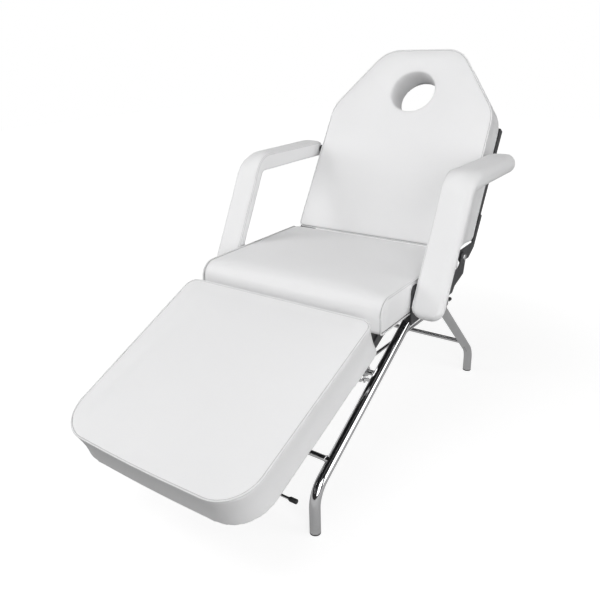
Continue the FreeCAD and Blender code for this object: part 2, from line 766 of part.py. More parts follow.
# Armrest linkage
arm_run_y = arm_bend_y - arm_seat_y
arm_run_z = arm_bend_z - arm_seat_z
arm_length = hypot(arm_run_y, arm_run_z)
arm_angle = degrees(atan2(arm_run_z, arm_run_y))
arm_back = (recline_y + arm_run_y, recline_z + arm_run_z)
arm_top_run = arm_back[0] - arm_bend_y
arm_middle_x = arm_inner_x + arm_width / 2
lower_bar_x = arm_inner_x + arm_bar_depth
lower_bar_end_x = lower_bar_x + arm_bar_thickness
upper_bar_x = lower_bar_end_x + arm_bar_inset
upper_bar_end_x = upper_bar_x + arm_bar_thickness
head_start_x = upper_bar_end_x + arm_bar_inset
head_end_x = head_start_x + pin_head_height


def arm_pad(start, end, round_start, round_end, thick, crown, roll, end_round):
    """A crowned armrest pad along Y, with each end rounded where asked."""
    stations = []
    half = arm_width / 2

    def end_stations(place, direction):
        steps = []
        for inset, drop in roll_steps(end_round, 3):
            thin = drop * thick / end_round * 0.7
            low_roll = min(roll, (thick - thin) * 0.9)
            steps.append((place + direction * inset, half - drop * 0.7, thin - thick, thick - thin,
                          crown, low_roll, low_roll, arm_middle_x))
        return steps

    full = (half, -thick, thick, crown, roll, roll, arm_middle_x)
    if round_start:
        stations += end_stations(start, 1)
        stations.append((start + end_round, *full))
    else:
        stations.append((start, *full))
    if round_end:
        stations.append((end - end_round, *full))
        stations += end_stations(end, -1)[::-1]
    else:
        stations.append((end, *full))
    return pad(stations)


def make_arms():
    bar_half = arm_bar_width / 2
    eye_radius = bar_half
    recess_half = bar_half + arm_bar_inset
    sweep_radius = arm_half_thickness + arm_crown + arm_bar_inset * 8
    head_room = arm_spacer_radius + arm_bar_inset * 3

    lower = arm_pad(-arm_low_overhang, arm_length, True, False,
                    arm_low_half_thickness, arm_low_crown, arm_low_edge_roll, arm_low_end_round)
    knuckle_room = cylinder_x(arm_inner_x - overrun, arm_inner_x + arm_width + overrun, sweep_radius, arm_length, 0)
    upper_room = placed(box(arm_inner_x - overrun, arm_inner_x + arm_width + overrun, 0, arm_length / 2,
                            -arm_half_thickness - arm_bar_inset * 4, arm_half_thickness + arm_crown),
                        arm_length, 0, -arm_angle - arm_raise_limit)
    lower_recess = box(arm_inner_x - overrun, lower_bar_end_x + arm_bar_inset, -recess_half, arm_length,
                       -recess_half, recess_half)
    seat_head_room = cylinder_x(arm_inner_x - overrun, head_end_x, head_room, 0, 0)
    for room in (knuckle_room, upper_room, lower_recess, seat_head_room):
        lower = lower.cut(room)
    lower_bar = strap(lower_bar_x, arm_bar_thickness, (0, 0), (arm_length, 0), eye_radius)
    lower_bar = lower_bar.cut(cylinder_x(lower_bar_x - overrun, lower_bar_end_x + overrun,
                                         arm_bolt_radius + running_gap, 0, 0))
    bend_pin = pin([(lower_bar_end_x - arm_bar_thickness, head_start_x, arm_bolt_radius)],
                   [(head_start_x, head_end_x, arm_spacer_radius)], arm_length, 0)
    lower_bar = lower_bar.fuse(bend_pin).removeSplitter()

    upper = arm_pad(-arm_half_thickness, arm_top_run - arm_tip_setback, True, True,
                    arm_half_thickness, arm_crown, arm_edge_roll, arm_end_round)
    eye_room = cylinder_x(arm_inner_x - overrun, head_end_x + arm_bar_inset, arm_half_thickness * 2, 0, 0)
    upper_recess = box(arm_inner_x - overrun, upper_bar_end_x + arm_bar_inset, 0, arm_top_run + recess_half,
                       -recess_half, recess_half)
    back_head_room = cylinder_x(arm_inner_x - overrun, head_end_x + arm_bar_inset, head_room, arm_top_run, 0)
    for room in (eye_room, upper_recess, back_head_room):
        upper = upper.cut(room)
    upper_bar = strap(upper_bar_x, arm_bar_thickness, (0, 0), (arm_top_run, 0), eye_radius)
    upper_bar = upper_bar.cut(cylinder_x(upper_bar_x - overrun, upper_bar_end_x + overrun,
                                         arm_bolt_radius + running_gap, 0, 0))
    upper_bar = upper_bar.cut(cylinder_x(upper_bar_x - overrun, upper_bar_end_x + overrun,
                                         arm_bolt_radius + open_pivot_gap, arm_top_run, 0))
    for side in SIDES:
        for name, shape, place in (
            ("arm_lower_pad_", lower, (arm_seat_y, arm_seat_z, arm_angle)),
            ("arm_lower_bar_", lower_bar, (arm_seat_y, arm_seat_z, arm_angle)),
            ("arm_upper_pad_", upper, (arm_bend_y, arm_bend_z, 0)),
            ("arm_upper_bar_", upper_bar, (arm_bend_y, arm_bend_z, 0)),
        ):
            pieces[name + side] = placed(for_side(side, shape), *place)

    seat_pin = pin([
        (plate_outer_x, lower_bar_x, arm_spacer_radius),
        (lower_bar_x, lower_bar_end_x + arm_bar_inset, arm_bolt_radius),
    ], [(lower_bar_end_x + arm_bar_inset, lower_bar_end_x + pin_head_height, arm_spacer_radius)],
        arm_seat_y, arm_seat_z)
    pieces["arm_seat_pins"] = Part.makeCompound([seat_pin, mirrored(seat_pin)])
    back_pin = pin([
        (plate_outer_x, lower_bar_end_x, arm_spacer_radius),
        (lower_bar_end_x, head_start_x, arm_bolt_radius),
    ], [(head_start_x, head_end_x, arm_spacer_radius)], *arm_back)
    pieces["arm_back_pins"] = Part.makeCompound([back_pin, mirrored(back_pin)])


def rod_clamp(x, crossbar, pivot):
    """A clamp round a crossbar with two cheeks that hold a rod's eye, drawn along the pivot's way."""
    reach = hypot(pivot[0] - crossbar[0], pivot[1] - crossbar[1])
    ring = ring_x(x - clamp_half_width, x + clamp_half_width, clamp_ring_radius, crossbar_radius, 0, 0)
    slot_half = rod_eye_half + seat_gap
    room = cylinder_x(x - slot_half, x + slot_half, rod_eye_radius + seat_gap * 3, reach, 0)
    cheeks = []
    for low in (x - slot_half - clamp_cheek_thickness, x + slot_half):
        web = box(low, low + clamp_cheek_thickness, crossbar_radius, reach + rod_eye_radius,
                  -rod_eye_radius, rod_eye_radius)
        bore = cylinder_x(low - overrun, low + clamp_cheek_thickness + overrun, rod_pin_radius, reach, 0)
        cheeks.append(web.cut(bore))
    inside = cylinder_x(x - clamp_half_width, x + clamp_half_width, crossbar_radius, 0, 0)
    clamp = ring.multiFuse(cheeks).removeSplitter().cut(room).cut(inside)
    pin_from = x - slot_half - clamp_cheek_thickness
    pin_to = x + slot_half + clamp_cheek_thickness
    angle = degrees(atan2(pivot[1] - crossbar[1], pivot[0] - crossbar[0]))
    pinned = pin([(pin_from, pin_to, rod_pin_radius)],
                 [(pin_to, pin_to + pin_head_height, rod_pin_radius * pin_head_share)], reach, 0)
    return placed(clamp, *crossbar, angle), placed(pinned, *crossbar, angle)


def rod(x, length):
    """A plain rod along Y from its flattened eye at zero."""
    eye = cylinder_x(x - rod_eye_half, x + rod_eye_half, rod_eye_radius, 0, 0)
    shaft = cylinder_between(V(x, 0, 0), V(x, length, 0), rod_radius)
    bore = cylinder_x(x - overrun * 2, x + overrun * 2, rod_pin_radius + running_gap, 0, 0)
    return eye.fuse(shaft).removeSplitter().cut(bore)


def lock_housing(x, middle):
    """A coil lock's tube, with round bosses at its pivot."""
    start = V(x, middle - lock_half_length, 0)
    end = V(x, middle + lock_half_length, 0)
    tube = cylinder_between(start, end, lock_radius)
    boss = cylinder_x(x - lock_boss_half, x + lock_boss_half, trunnion_radius, middle, 0)
    bore = cylinder_between(start - V(0, overrun, 0), end + V(0, overrun, 0), rod_radius + running_gap)
    return tube.fuse(boss).removeSplitter().cut(bore)


def release_lever(x, middle, toward, reach):
    """A collar that turns round the lock, with its lever bar; toward is the bar's way in (x, z)."""
    start = V(x, middle - collar_width / 2, 0)
    end = V(x, middle + collar_width / 2, 0)
    collar = cylinder_between(start, end, collar_radius)
    root = V(x, middle, 0)
    tip = root + V(toward[0], 0, toward[1]) * reach
    grip_start = root + V(toward[0], 0, toward[1]) * (reach - grip_length)
    bar = cylinder_between(root, tip - V(toward[0], 0, toward[1]) * grip_radius, lever_radius)
    bore = cylinder_between(start - V(0, overrun, 0), end + V(0, overrun, 0), lock_radius + running_gap)
    grip = cylinder_between(grip_start, tip, grip_radius)
    lever = collar.fuse(bar).removeSplitter().cut(bore)
    return lever, grip.cut(bar)


def make_locks(crossbar, leg_lock):
    clamps = []
    pins = []
    back_pivot = (middle_crossbar_y, back_rod_z)
    leg_pivot = (crossbar[0] - leg_rod_pivot_forward, crossbar[1] - leg_rod_pivot_drop)
    back_lock = (back_lock_y, back_lock_z)
    back_lever_way = (-cos(radians(back_lever_drop)), -sin(radians(back_lever_drop)))
    for name, x, pivot, lock, side, toward, reach, tail in (
        ("back", back_rod_x, back_pivot, back_lock, -1, back_lever_way, back_lever_reach, back_rod_tail),
        ("leg", leg_rod_x, leg_pivot, leg_lock, 1, (1, 0), leg_lever_reach, leg_rod_tail),
    ):
        clamp, pinned = rod_clamp(x, crossbar, pivot)
        clamps.append(clamp)
        pins.append(pinned)
        span = hypot(lock[0] - pivot[0], lock[1] - pivot[1])
        angle = degrees(atan2(lock[1] - pivot[1], lock[0] - pivot[0]))
        # The leg rest's lock lies ahead of its pivot, so its pieces are drawn towards minus Y
        way = 1 if abs(angle) < 90 else -1
        turn = angle if way > 0 else angle + 180
        shaft = rod(x, way * (span + tail))
        housing = lock_housing(x, way * span)
        lever, grip = release_lever(x, way * (span + side * collar_place), toward, reach)
        for part_name, shape in (
            ("_rod", shaft), ("_lock_housing", housing), ("_release_lever", lever), ("_release_grip", grip),
        ):
            pieces[name + part_name] = placed(shape, *pivot, turn)
        if name == "back":
            tip = span + tail
            cap = cylinder_between(V(x, tip - rod_cap_length / 2, 0), V(x, tip + rod_cap_length / 2, 0),
                                   rod_cap_radius)
            pieces["back_rod_cap"] = placed(cap.cut(shaft), *pivot, turn)
    pieces["rod_clamps"] = Part.makeCompound(clamps)
    pieces["clamp_pins"] = Part.makeCompound(pins)


middle_crossbar = make_stand()
make_seat_frame()
make_side_plates()
make_seat()
make_back()
make_back_frame(local_point((back_lock_y, back_lock_z), recline, back_rest_angle),
                local_point(arm_back, recline, back_rest_angle))
leg_lock_place = make_leg_rest()
make_hinge_pins()
make_arms()
make_locks(middle_crossbar, leg_lock_place)

# The origin goes under the middle of the chair's overall box
overall = Part.makeCompound(list(pieces.values())).optimalBoundingBox(False, False)
shift = V(-(overall.XMin + overall.XMax) / 2, -(overall.YMin + overall.YMax) / 2, -overall.ZMin)
os.makedirs("parts", exist_ok=True)
for node, shape in pieces.items():
    shape.translate(shift)
    shape.exportStep("parts/" + node + ".step")
print("pieces", len(pieces), "shift", [round(value, 3) for value in shift])
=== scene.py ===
"""Looks for the tattoo chair: white upholstery, chromed tube stand, dark frame plates, studio stage."""

import json
import math

import bmesh
import bpy
import numpy as np
from mathutils import Matrix, Vector


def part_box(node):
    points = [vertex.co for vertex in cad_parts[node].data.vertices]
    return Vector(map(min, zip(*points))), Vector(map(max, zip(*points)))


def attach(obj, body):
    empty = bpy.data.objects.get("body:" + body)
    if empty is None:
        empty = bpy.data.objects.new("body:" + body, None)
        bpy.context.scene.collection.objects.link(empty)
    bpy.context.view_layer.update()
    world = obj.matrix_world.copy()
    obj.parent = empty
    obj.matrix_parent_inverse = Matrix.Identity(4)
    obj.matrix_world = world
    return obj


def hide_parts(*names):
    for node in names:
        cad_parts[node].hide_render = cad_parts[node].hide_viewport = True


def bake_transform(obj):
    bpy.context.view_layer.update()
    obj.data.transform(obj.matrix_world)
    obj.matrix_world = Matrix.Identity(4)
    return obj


bl_info = {
    "name": "Tattoo chair upholstery and finishes",
    "version": (1, 0, 0),
    "blender": (4, 5, 0),
    "location": "View3D > Sidebar > Chair",
    "description": "Builds the chair's cushions, armrest covers, trim, hardware and studio around its frame",
    "category": "Object",
}

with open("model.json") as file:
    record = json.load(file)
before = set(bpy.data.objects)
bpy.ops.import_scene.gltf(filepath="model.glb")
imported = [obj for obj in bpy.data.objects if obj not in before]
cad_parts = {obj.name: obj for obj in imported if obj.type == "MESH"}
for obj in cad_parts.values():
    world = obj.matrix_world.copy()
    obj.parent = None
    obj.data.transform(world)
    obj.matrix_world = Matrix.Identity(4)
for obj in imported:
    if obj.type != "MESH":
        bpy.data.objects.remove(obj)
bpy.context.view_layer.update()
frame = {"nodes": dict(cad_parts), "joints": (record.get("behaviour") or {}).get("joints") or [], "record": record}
JOINTS = {joint["name"]: joint for joint in frame["joints"]}

# Axes of the hinges, as (y, z) in the row frame
RECLINE = np.array(JOINTS["recline"]["pos_m"][1:])
LEG_HINGE = np.array(JOINTS["leg_rest_tilt"]["pos_m"][1:])
ARM_SEAT = np.array(JOINTS["arm_lower_right_swing"]["pos_m"][1:])
ARM_BEND = np.array(JOINTS["arm_upper_right_swing"]["pos_m"][1:])

# The seat's front edge, along Y, and the place that the seat's pieces are carried to
FRONT_EDGE = RECLINE[0] - 0.543
SEAT_FRONT = (FRONT_EDGE, 0.0)

# Angles and lengths of the frame that more than one piece needs
BACK_ANGLE = math.radians(60.0)
LEG_ANGLE = math.radians(23.0)
HALF_WIDTH = 0.312
SEAT_LENGTH = 0.508
SEAT_TOP = 0.572
SEAT_BOARD_LOW = 0.474
LEG_BOARD_LOW = 0.006
LEG_REAR, LEG_FOOT = -0.063, -0.648
LEG_PLAN = [(-0.299, LEG_FOOT), (0.299, LEG_FOOT), (0.316, LEG_REAR), (-0.316, LEG_REAR)]
BOARD_REVEAL = 0.0015
BOARD_INSET = 0.014
STAND_HALF_WIDTH = 0.265
SIDES = {"left": -1.0, "right": 1.0}

# How closely outlines and rounded edges are sampled
OUTLINE_STEP = 0.009
EDGE_SAMPLES = 5

TAU = 2.0 * math.pi
WHITE = (1.0, 1.0, 1.0)


# Sizes and colours that a user may change

class ChairUpholstery(bpy.types.PropertyGroup):
    """The cushions and their cover."""

    colour: bpy.props.FloatVectorProperty(
        name="Cover colour", description="Colour of the synthetic leather",
        default=(0.86, 0.86, 0.865), min=0.0, max=1.0, size=3, subtype="COLOR")
    roughness: bpy.props.FloatProperty(
        name="Cover roughness", description="How matt the synthetic leather is",
        default=0.40, min=0.05, max=1.0, subtype="FACTOR")
    grain: bpy.props.FloatProperty(
        name="Grain size", description="Width of one pebble of the leather's grain",
        default=0.0016, min=0.0005, max=0.01, unit="LENGTH")
    welt: bpy.props.FloatProperty(
        name="Welt radius", description="Radius of the sewn welt along the seams",
        default=0.0021, min=0.0005, max=0.006, unit="LENGTH")
    seat_edge: bpy.props.FloatProperty(
        name="Edge rounding", description="Radius of the cushions' sewn edges",
        default=0.006, min=0.003, max=0.03, unit="LENGTH")
    lift: bpy.props.FloatProperty(
        name="Padding lift", description="How far the padding may push the cover out",
        default=0.008, min=0.001, max=0.02, unit="LENGTH")


class ChairMetal(bpy.types.PropertyGroup):
    """The stand, its fittings and the frame plates."""

    chrome: bpy.props.FloatVectorProperty(
        name="Chrome colour", description="Tint of the chromed tube",
        default=(0.84, 0.84, 0.85), min=0.0, max=1.0, size=3, subtype="COLOR")
    coat: bpy.props.FloatVectorProperty(
        name="Plate colour", description="Colour of the powder coated plates and frame tubes",
        default=(0.035, 0.035, 0.038), min=0.0, max=1.0, size=3, subtype="COLOR")
    lining: bpy.props.FloatVectorProperty(
        name="Lining colour", description="Colour of the lining cloth under the cushions",
        default=(0.045, 0.045, 0.048), min=0.0, max=1.0, size=3, subtype="COLOR")
    bead: bpy.props.FloatProperty(
        name="Weld bead", description="Radius of the weld bead round the crossbars",
        default=0.0016, min=0.0005, max=0.004, unit="LENGTH")
    staple: bpy.props.FloatProperty(
        name="Staple spacing", description="Distance between the staples that hold the lining",
        default=0.036, min=0.015, max=0.1, unit="LENGTH")


class ChairStudio(bpy.types.PropertyGroup):
    """The floor, the lamps and the camera."""

    floor: bpy.props.FloatVectorProperty(
        name="Floor colour", description="Colour of the plain floor",
        default=(0.32, 0.32, 0.32), min=0.0, max=1.0, size=3, subtype="COLOR")
    overhead: bpy.props.FloatProperty(
        name="Overhead lamp", description="Power of the large lamp above the leg rest",
        default=5.0, min=0.0, max=500.0, unit="POWER")
    front: bpy.props.FloatProperty(
        name="Front lamp", description="Power of the large lamp high in front",
        default=27.0, min=0.0, max=500.0, unit="POWER")
    right: bpy.props.FloatProperty(
        name="Right lamp", description="Power of the lamp to the right in front",
        default=33.0, min=0.0, max=500.0, unit="POWER")
    left: bpy.props.FloatProperty(
        name="Left lamp", description="Power of the lamp to the left in front",
        default=40.0, min=0.0, max=500.0, unit="POWER")
    side: bpy.props.FloatProperty(
        name="Side lamp", description="Power of the lamp square to the right side",
        default=22.0, min=0.0, max=500.0, unit="POWER")
    ambient: bpy.props.FloatProperty(
        name="Ambient light", description="Strength of the light from all round",
        default=0.13, min=0.0, max=2.0)


# Mesh helpers

def carried(points, pivot, angle):
    """Local (x, along, out) points turned by the angle about X and carried to the pivot: a rotation matrix
    times each point, plus the pivot's place."""
    turn = np.array([
        [1.0, 0.0, 0.0],
        [0.0, math.cos(angle), -math.sin(angle)],
        [0.0, math.sin(angle), math.cos(angle)],
    ])
    return points @ turn.T + np.array([0.0, pivot[0], pivot[1]])


def quarter_turn(samples):
    """Angles from nought to a right angle, both among them."""
    return np.linspace(0.0, math.pi / 2.0, samples)


def full_turn(samples):
    """Angles evenly round a circle, the first not repeated at the end."""
    return np.linspace(0.0, TAU, samples, endpoint=False)


def unit(vectors):
    """Each row divided by its own length."""
    return vectors / np.linalg.norm(vectors, axis=1)[:, None]


def run_along(path):
    """How far along the path each of its points lies."""
    return np.concatenate([[0.0], np.cumsum(np.linalg.norm(np.diff(path, axis=0), axis=1))])


def ahead_along(path):
    """The direction of a closed path at each point, from the point before to the point after."""
    return unit(np.roll(path, -1, axis=0) - np.roll(path, 1, axis=0))


def smooth_step(low, high, value):
    """0 below low, 1 above high, and 3t2 - 2t3 of the share between."""
    share = np.clip((value - low) / (high - low), 0.0, 1.0)
    return share * share * (3.0 - 2.0 * share)


def squared_gaps(points, samples):
    """The squared distances from every point to every sample, for a few thousand points at a time."""
    at_once = 4000
    for part in np.array_split(points, max(1, len(points) // at_once)):
        yield ((part[:, None, :] - samples[None, :, :]) ** 2).sum(-1)


def distance_to(points, outline):
    """Each point's distance to the nearest sample of the outline, in the plane."""
    return np.concatenate([np.sqrt(gaps).min(1) for gaps in squared_gaps(points, outline)])


def grid_faces(rows, columns, wrap_rows=False):
    """Quads of rings of points in row order: each joins (row, column) with the next row and the next
    column, and the last column with the first."""
    row = np.arange(rows if wrap_rows else rows - 1)[:, None]
    column = np.arange(columns)[None, :]
    next_row = (row + 1) % rows
    next_column = (column + 1) % columns
    corners = [row * columns + column, row * columns + next_column,
               next_row * columns + next_column, next_row * columns + column]
    return np.stack([corner + 0 * row * column for corner in corners], axis=-1).reshape(-1, 4)


def meshed(name, points, faces):
    """An object at the origin for points that are in their place, smooth shaded, its faces turned
    outwards."""
    mesh = bpy.data.meshes.new(name)
    mesh.from_pydata(points.tolist(), [], faces)
    work = bmesh.new()
    work.from_mesh(mesh)
    bmesh.ops.recalc_face_normals(work, faces=work.faces)
    work.to_mesh(mesh)
    work.free()
    mesh.polygons.foreach_set("use_smooth", np.ones(len(mesh.polygons), bool))
    mesh.update()
    built = bpy.data.objects.new(name, mesh)
    bpy.context.scene.collection.objects.link(built)
    return built


def skin(name, rings, wrap=False):
    """A closed mesh from equal rings of points. Ring i, point j is joined with ring i + 1, point j + 1; the
    first and last rings are closed with a pole at their mean, or joined to each other where wrap is
    true."""
    rings = np.asarray(rings)
    count, around = rings.shape[:2]
    points = rings.reshape(-1, 3)
    faces = grid_faces(count, around, wrap_rows=wrap).tolist()
    if not wrap:
        first, last = len(points), len(points) + 1
        points = np.vstack([points, rings[0].mean(0), rings[-1].mean(0)])
        near = np.arange(around)
        after = (near + 1) % around
        end = (count - 1) * around
        faces += np.stack([near * 0 + first, after, near], axis=-1).tolist()
        faces += np.stack([near * 0 + last, end + near, end + after], axis=-1).tolist()
    return meshed(name, points, faces)


def points_of(built):
    """The mesh's points as an array, three columns."""
    flat = np.empty(len(built.data.vertices) * 3)
    built.data.vertices.foreach_get("co", flat)
    return flat.reshape(-1, 3)


def put_points(built, points):
    """Move the mesh's points to these places."""
    built.data.vertices.foreach_set("co", np.ascontiguousarray(points).ravel())
    built.data.update()


def corner_arc(before, here, after, radius):
    """The arc that rounds a corner, its centre radius away from both runs: the centre, the angle at which
    it starts, how far it turns, above zero to the left, and the side of the centre, 1 for the left."""
    into = (here - before) / np.linalg.norm(here - before)
    out = (after - here) / np.linalg.norm(after - here)
    turn = math.atan2(into[0] * out[1] - into[1] * out[0], into @ out)
    reach = radius * math.tan(abs(turn) / 2.0)
    side = math.copysign(1.0, turn)
    centre = here - into * reach + side * radius * np.array([-into[1], into[0]])
    return centre, math.atan2(-side * into[0], side * into[1]), turn, side


def rounded_outline(corners, radii, step):
    """A closed outline in a plane, each corner rounded by its radius. Each run is a straight line sampled
    every step, each corner an arc whose centre lies radius away from both runs. Gives points and outward
    normals, the outline taken anticlockwise."""
    corners = np.asarray(corners, float)
    arcs = []
    for index, radius in enumerate(radii):
        after = corners[(index + 1) % len(corners)]
        centre, start, turn, side = corner_arc(corners[index - 1], corners[index], after, radius)
        sweep = start + np.linspace(0.0, turn, max(3, int(abs(turn) * radius / step) + 2))
        spokes = np.stack([np.cos(sweep), np.sin(sweep)], axis=-1)
        arcs.append((centre + radius * spokes, side * spokes))
    places, normals = [], []
    for (arc, out), (next_arc, _) in zip(arcs, arcs[1:] + arcs[:1]):
        places.append(arc)
        normals.append(out)
        way = next_arc[0] - arc[-1]
        run = np.linalg.norm(way)
        count = int(run / step)
        if count > 1:
            share = np.linspace(0.0, 1.0, count + 1)[1:-1, None]
            along = way / run
            places.append(arc[-1] + share * way)
            normals.append(np.tile([along[1], -along[0]], (count - 1, 1)))
    return np.vstack(places), np.vstack(normals)


def edge_profile(low, high, radius):
    """A pad's border from its top edge down to its bottom edge, as (inset, height) pairs. The top and
    bottom corners are quarter circles; between them the border draws in by draw times the sine of the way
    down."""
    low_radius, draw, border_rows = 0.005, 0.0035, 6
    quarter = quarter_turn(EDGE_SAMPLES)
    top = np.stack([radius * (1.0 - np.sin(quarter)), high - radius * (1.0 - np.cos(quarter))], axis=-1)
    share = np.linspace(0.0, 1.0, border_rows + 2)[1:-1]
    span = high - radius - low - low_radius
    border = np.stack([draw * np.sin(math.pi * share), high - radius - share * span], axis=-1)
    bottom = np.stack([low_radius * (1.0 - np.cos(quarter)),
                       low + low_radius * (1.0 - np.sin(quarter))], axis=-1)
    return np.vstack([top, border, bottom])


def inset_rings(outline, normals, profile):
    """One ring for each (inset, height) pair: the outline moved inwards along its normals by the inset."""
    return [np.column_stack([outline - normals * inset, np.full(len(outline), height)])
            for inset, height in profile]


def spread_rings(edge, centre, shares):
    """Rings between an edge ring and a centre point: the point plus share times the way out to the edge."""
    return [centre + share * (edge - centre) for share in shares]


def seam(name, path, radius, normals, around=10):
    """A sewn welt: a tube along a closed path. Each ring is the path's point plus radius times (cosine of
    the angle times the first side vector plus sine times the second), both square to the path."""
    ahead = ahead_along(path)
    first = unit(normals - (normals * ahead).sum(1)[:, None] * ahead)
    second = np.cross(ahead, first)
    angle = full_turn(around)
    ring = (np.cos(angle)[None, :, None] * first[:, None, :]
            + np.sin(angle)[None, :, None] * second[:, None, :])
    return skin(name, path[:, None, :] + radius * ring, wrap=True)


def mark_seams(built, seams):
    """Store at each point how far it lies across the nearest seam, above zero on the top panel, and how far
    along it: the offset from the seam's nearest sample, split along the panel's slope there and along the
    seam. Each seam is (path, outward normals of the border, outward normals of the top panel)."""
    path = np.vstack([line for line, _, _ in seams])
    slope = np.vstack([unit(panel_out - border_out) for _, border_out, panel_out in seams])
    ahead = np.vstack([ahead_along(line) for line, _, _ in seams])
    run = np.concatenate([run_along(line) for line, _, _ in seams])
    points = points_of(built)
    near = np.concatenate([gaps.argmin(1) for gaps in squared_gaps(points, path)])
    offset = points - path[near]
    values = {
        "seam_side": (offset * slope[near]).sum(1),
        "seam_run": run[near] + (offset * ahead[near]).sum(1),
    }
    for name, value in values.items():
        layer = built.data.attributes.new(name, "FLOAT", "POINT")
        layer.data.foreach_set("value", np.ascontiguousarray(value, np.float32))


def evened(built):
    """Rebuild the mesh as an even net of six millimetre quads."""
    even = built.modifiers.new("even", "REMESH")
    even.mode = "VOXEL"
    even.voxel_size = 0.006
    even.use_smooth_shade = True
    graph = bpy.context.evaluated_depsgraph_get()
    mesh = bpy.data.meshes.new_from_object(built.evaluated_get(graph))
    built.modifiers.remove(even)
    old = built.data
    built.data = mesh
    mesh.name = old.name + "_even"
    bpy.data.meshes.remove(old)


def inflate(built, held, cap):
    """Even out the mesh, let air push its free part out as cloth, and keep each point's move under the cap:
    the cap times the hyperbolic tangent of the move over the cap. held gives each point's share of holding,
    1 where the cover is sewn or stapled down, and is taken in eighths."""
    evened(built)
    scene = bpy.context.scene
    rest = points_of(built)
    group = built.vertex_groups.new(name="sewn")
    level = np.round(np.clip(held(rest), 0.0, 1.0) * 8.0) / 8.0
    for value in np.unique(level[level > 0.0]):
        group.add(np.nonzero(level == value)[0].tolist(), float(value), "REPLACE")
    air = built.modifiers.new("air", "CLOTH")
    cover = {
        "quality": 4,
        "mass": 0.3,
        "tension_stiffness": 18.0,
        "compression_stiffness": 18.0,
        "shear_stiffness": 8.0,
        "bending_stiffness": 1.2,
        "use_pressure": True,
        "uniform_pressure_force": 4.0,
        "vertex_group_mass": group.name,
    }
    for key, value in cover.items():
        setattr(air.settings, key, value)
    air.settings.effector_weights.gravity = 0.0
    frames = 20
    air.point_cache.frame_start = 1
    air.point_cache.frame_end = frames
    for number in range(1, frames + 1):
        scene.frame_set(number)
    graph = bpy.context.evaluated_depsgraph_get()
    move = points_of(built.evaluated_get(graph)) - rest
    length = np.linalg.norm(move, axis=1)
    never_zero = 1e-9
    limit = cap * np.tanh(length / cap) / np.maximum(length, never_zero)
    built.modifiers.remove(air)
    scene.frame_set(1)
    put_points(built, rest + move * limit[:, None])


def subdivided(built):
    """Finish a piece with one level of subdivision."""
    fine = built.modifiers.new("fine", "SUBSURF")
    fine.levels = 1
    fine.render_levels = 1


# Shader helpers

class Wiring:
    """The nodes of one material or node group, with short calls for what the finishes repeat."""

    def __init__(self, tree):
        self.tree = tree

    def fill(self, sockets, values):
        """Link an output to each named socket, or set the socket's own value."""
        for key, value in values.items():
            if isinstance(value, bpy.types.NodeSocket):
                self.tree.links.new(value, sockets[key])
            elif sockets[key].type == "RGBA":
                sockets[key].default_value = (*value[:3], 1.0)
            else:
                sockets[key].default_value = value

    def add(self, kind, inputs=None, **options):
        """A new node with its options set, and its inputs linked or set."""
        node = self.tree.nodes.new(kind)
        for key, value in options.items():
            setattr(node, key, value)
        self.fill(node.inputs, inputs or {})
        return node

    def maths(self, operation, *values):
        """The result of one operation on outputs and numbers."""
        return self.add("ShaderNodeMath", dict(enumerate(values)), operation=operation).outputs[0]

    def noise(self, vector, scale, detail=2.0, **inputs):
        """Noise with features of 1 / scale, as a value around one half."""
        node = self.add("ShaderNodeTexNoise", {"Vector": vector, "Scale": scale, "Detail": detail, **inputs})
        return node.outputs["Fac"]

    def mapped(self, value, low, high, to_low=0.0, to_high=1.0, kind="SMOOTHSTEP"):
        """A value's range from low to high spread over the range from to_low to to_high."""
        return self.add("ShaderNodeMapRange", {
            "Value": value, "From Min": low, "From Max": high, "To Min": to_low, "To Max": to_high,
        }, interpolation_type=kind).outputs["Result"]

    def ranged(self, value, to_low, to_high):
        """A value from 0 to 1 spread evenly between to_low and to_high."""
        return self.mapped(value, 0.0, 1.0, to_low, to_high, "LINEAR")

    def mixed(self, share, first, second):
        """The first colour where share is 0, the second where it is 1."""
        return self.add("ShaderNodeMix", {0: share, 6: first, 7: second}, data_type="RGBA").outputs[2]

    def bump(self, height, depth, strength):
        """The normal of a surface raised by the height times the depth."""
        node = self.add("ShaderNodeBump", {"Distance": depth, "Strength": strength, "Height": height})
        return node.outputs["Normal"]

    def group(self, name, **inputs):
        """The outputs of a shared node group placed with these inputs, spaces in their names as
        underscores."""
        node = self.add("ShaderNodeGroup", node_tree=MATERIALS[name])
        self.fill(node.inputs, {key.replace("_", " "): value for key, value in inputs.items()})
        return node.outputs

    def attribute(self, name):
        """A value that the mesh stores at each point."""
        return self.add("ShaderNodeAttribute", attribute_name=name).outputs["Fac"]

    def seen_directly(self, path):
        """1 for rays from the camera, or through glass, and 0 for light that falls on the object."""
        return self.maths("MAXIMUM", path["Is Camera Ray"], path["Is Transmission Ray"])


def new_material(name):
    """A material, its wiring, its shader's inputs and its object coordinates."""
    material = bpy.data.materials.new(name)
    material.use_nodes = True
    wiring = Wiring(material.node_tree)
    vector = wiring.add("ShaderNodeTexCoord").outputs["Object"]
    return material, wiring, material.node_tree.nodes["Principled BSDF"].inputs, vector


def group_tree(name, inputs, outputs):
    """A node group's wiring, what it is given and what it puts out. inputs holds each input's default, None
    for a vector, and outputs names the values that it gives."""
    tree = bpy.data.node_groups.new(name, "ShaderNodeTree")
    for socket_name, default in inputs.items():
        kind = "NodeSocketVector" if default is None else "NodeSocketFloat"
        socket = tree.interface.new_socket(socket_name, in_out="INPUT", socket_type=kind)
        if default is not None:
            socket.default_value = default
    for socket_name in outputs:
        tree.interface.new_socket(socket_name, in_out="OUTPUT", socket_type="NodeSocketFloat")
    entry, leave = tree.nodes.new("NodeGroupInput"), tree.nodes.new("NodeGroupOutput")
    return Wiring(tree), entry.outputs, leave.inputs


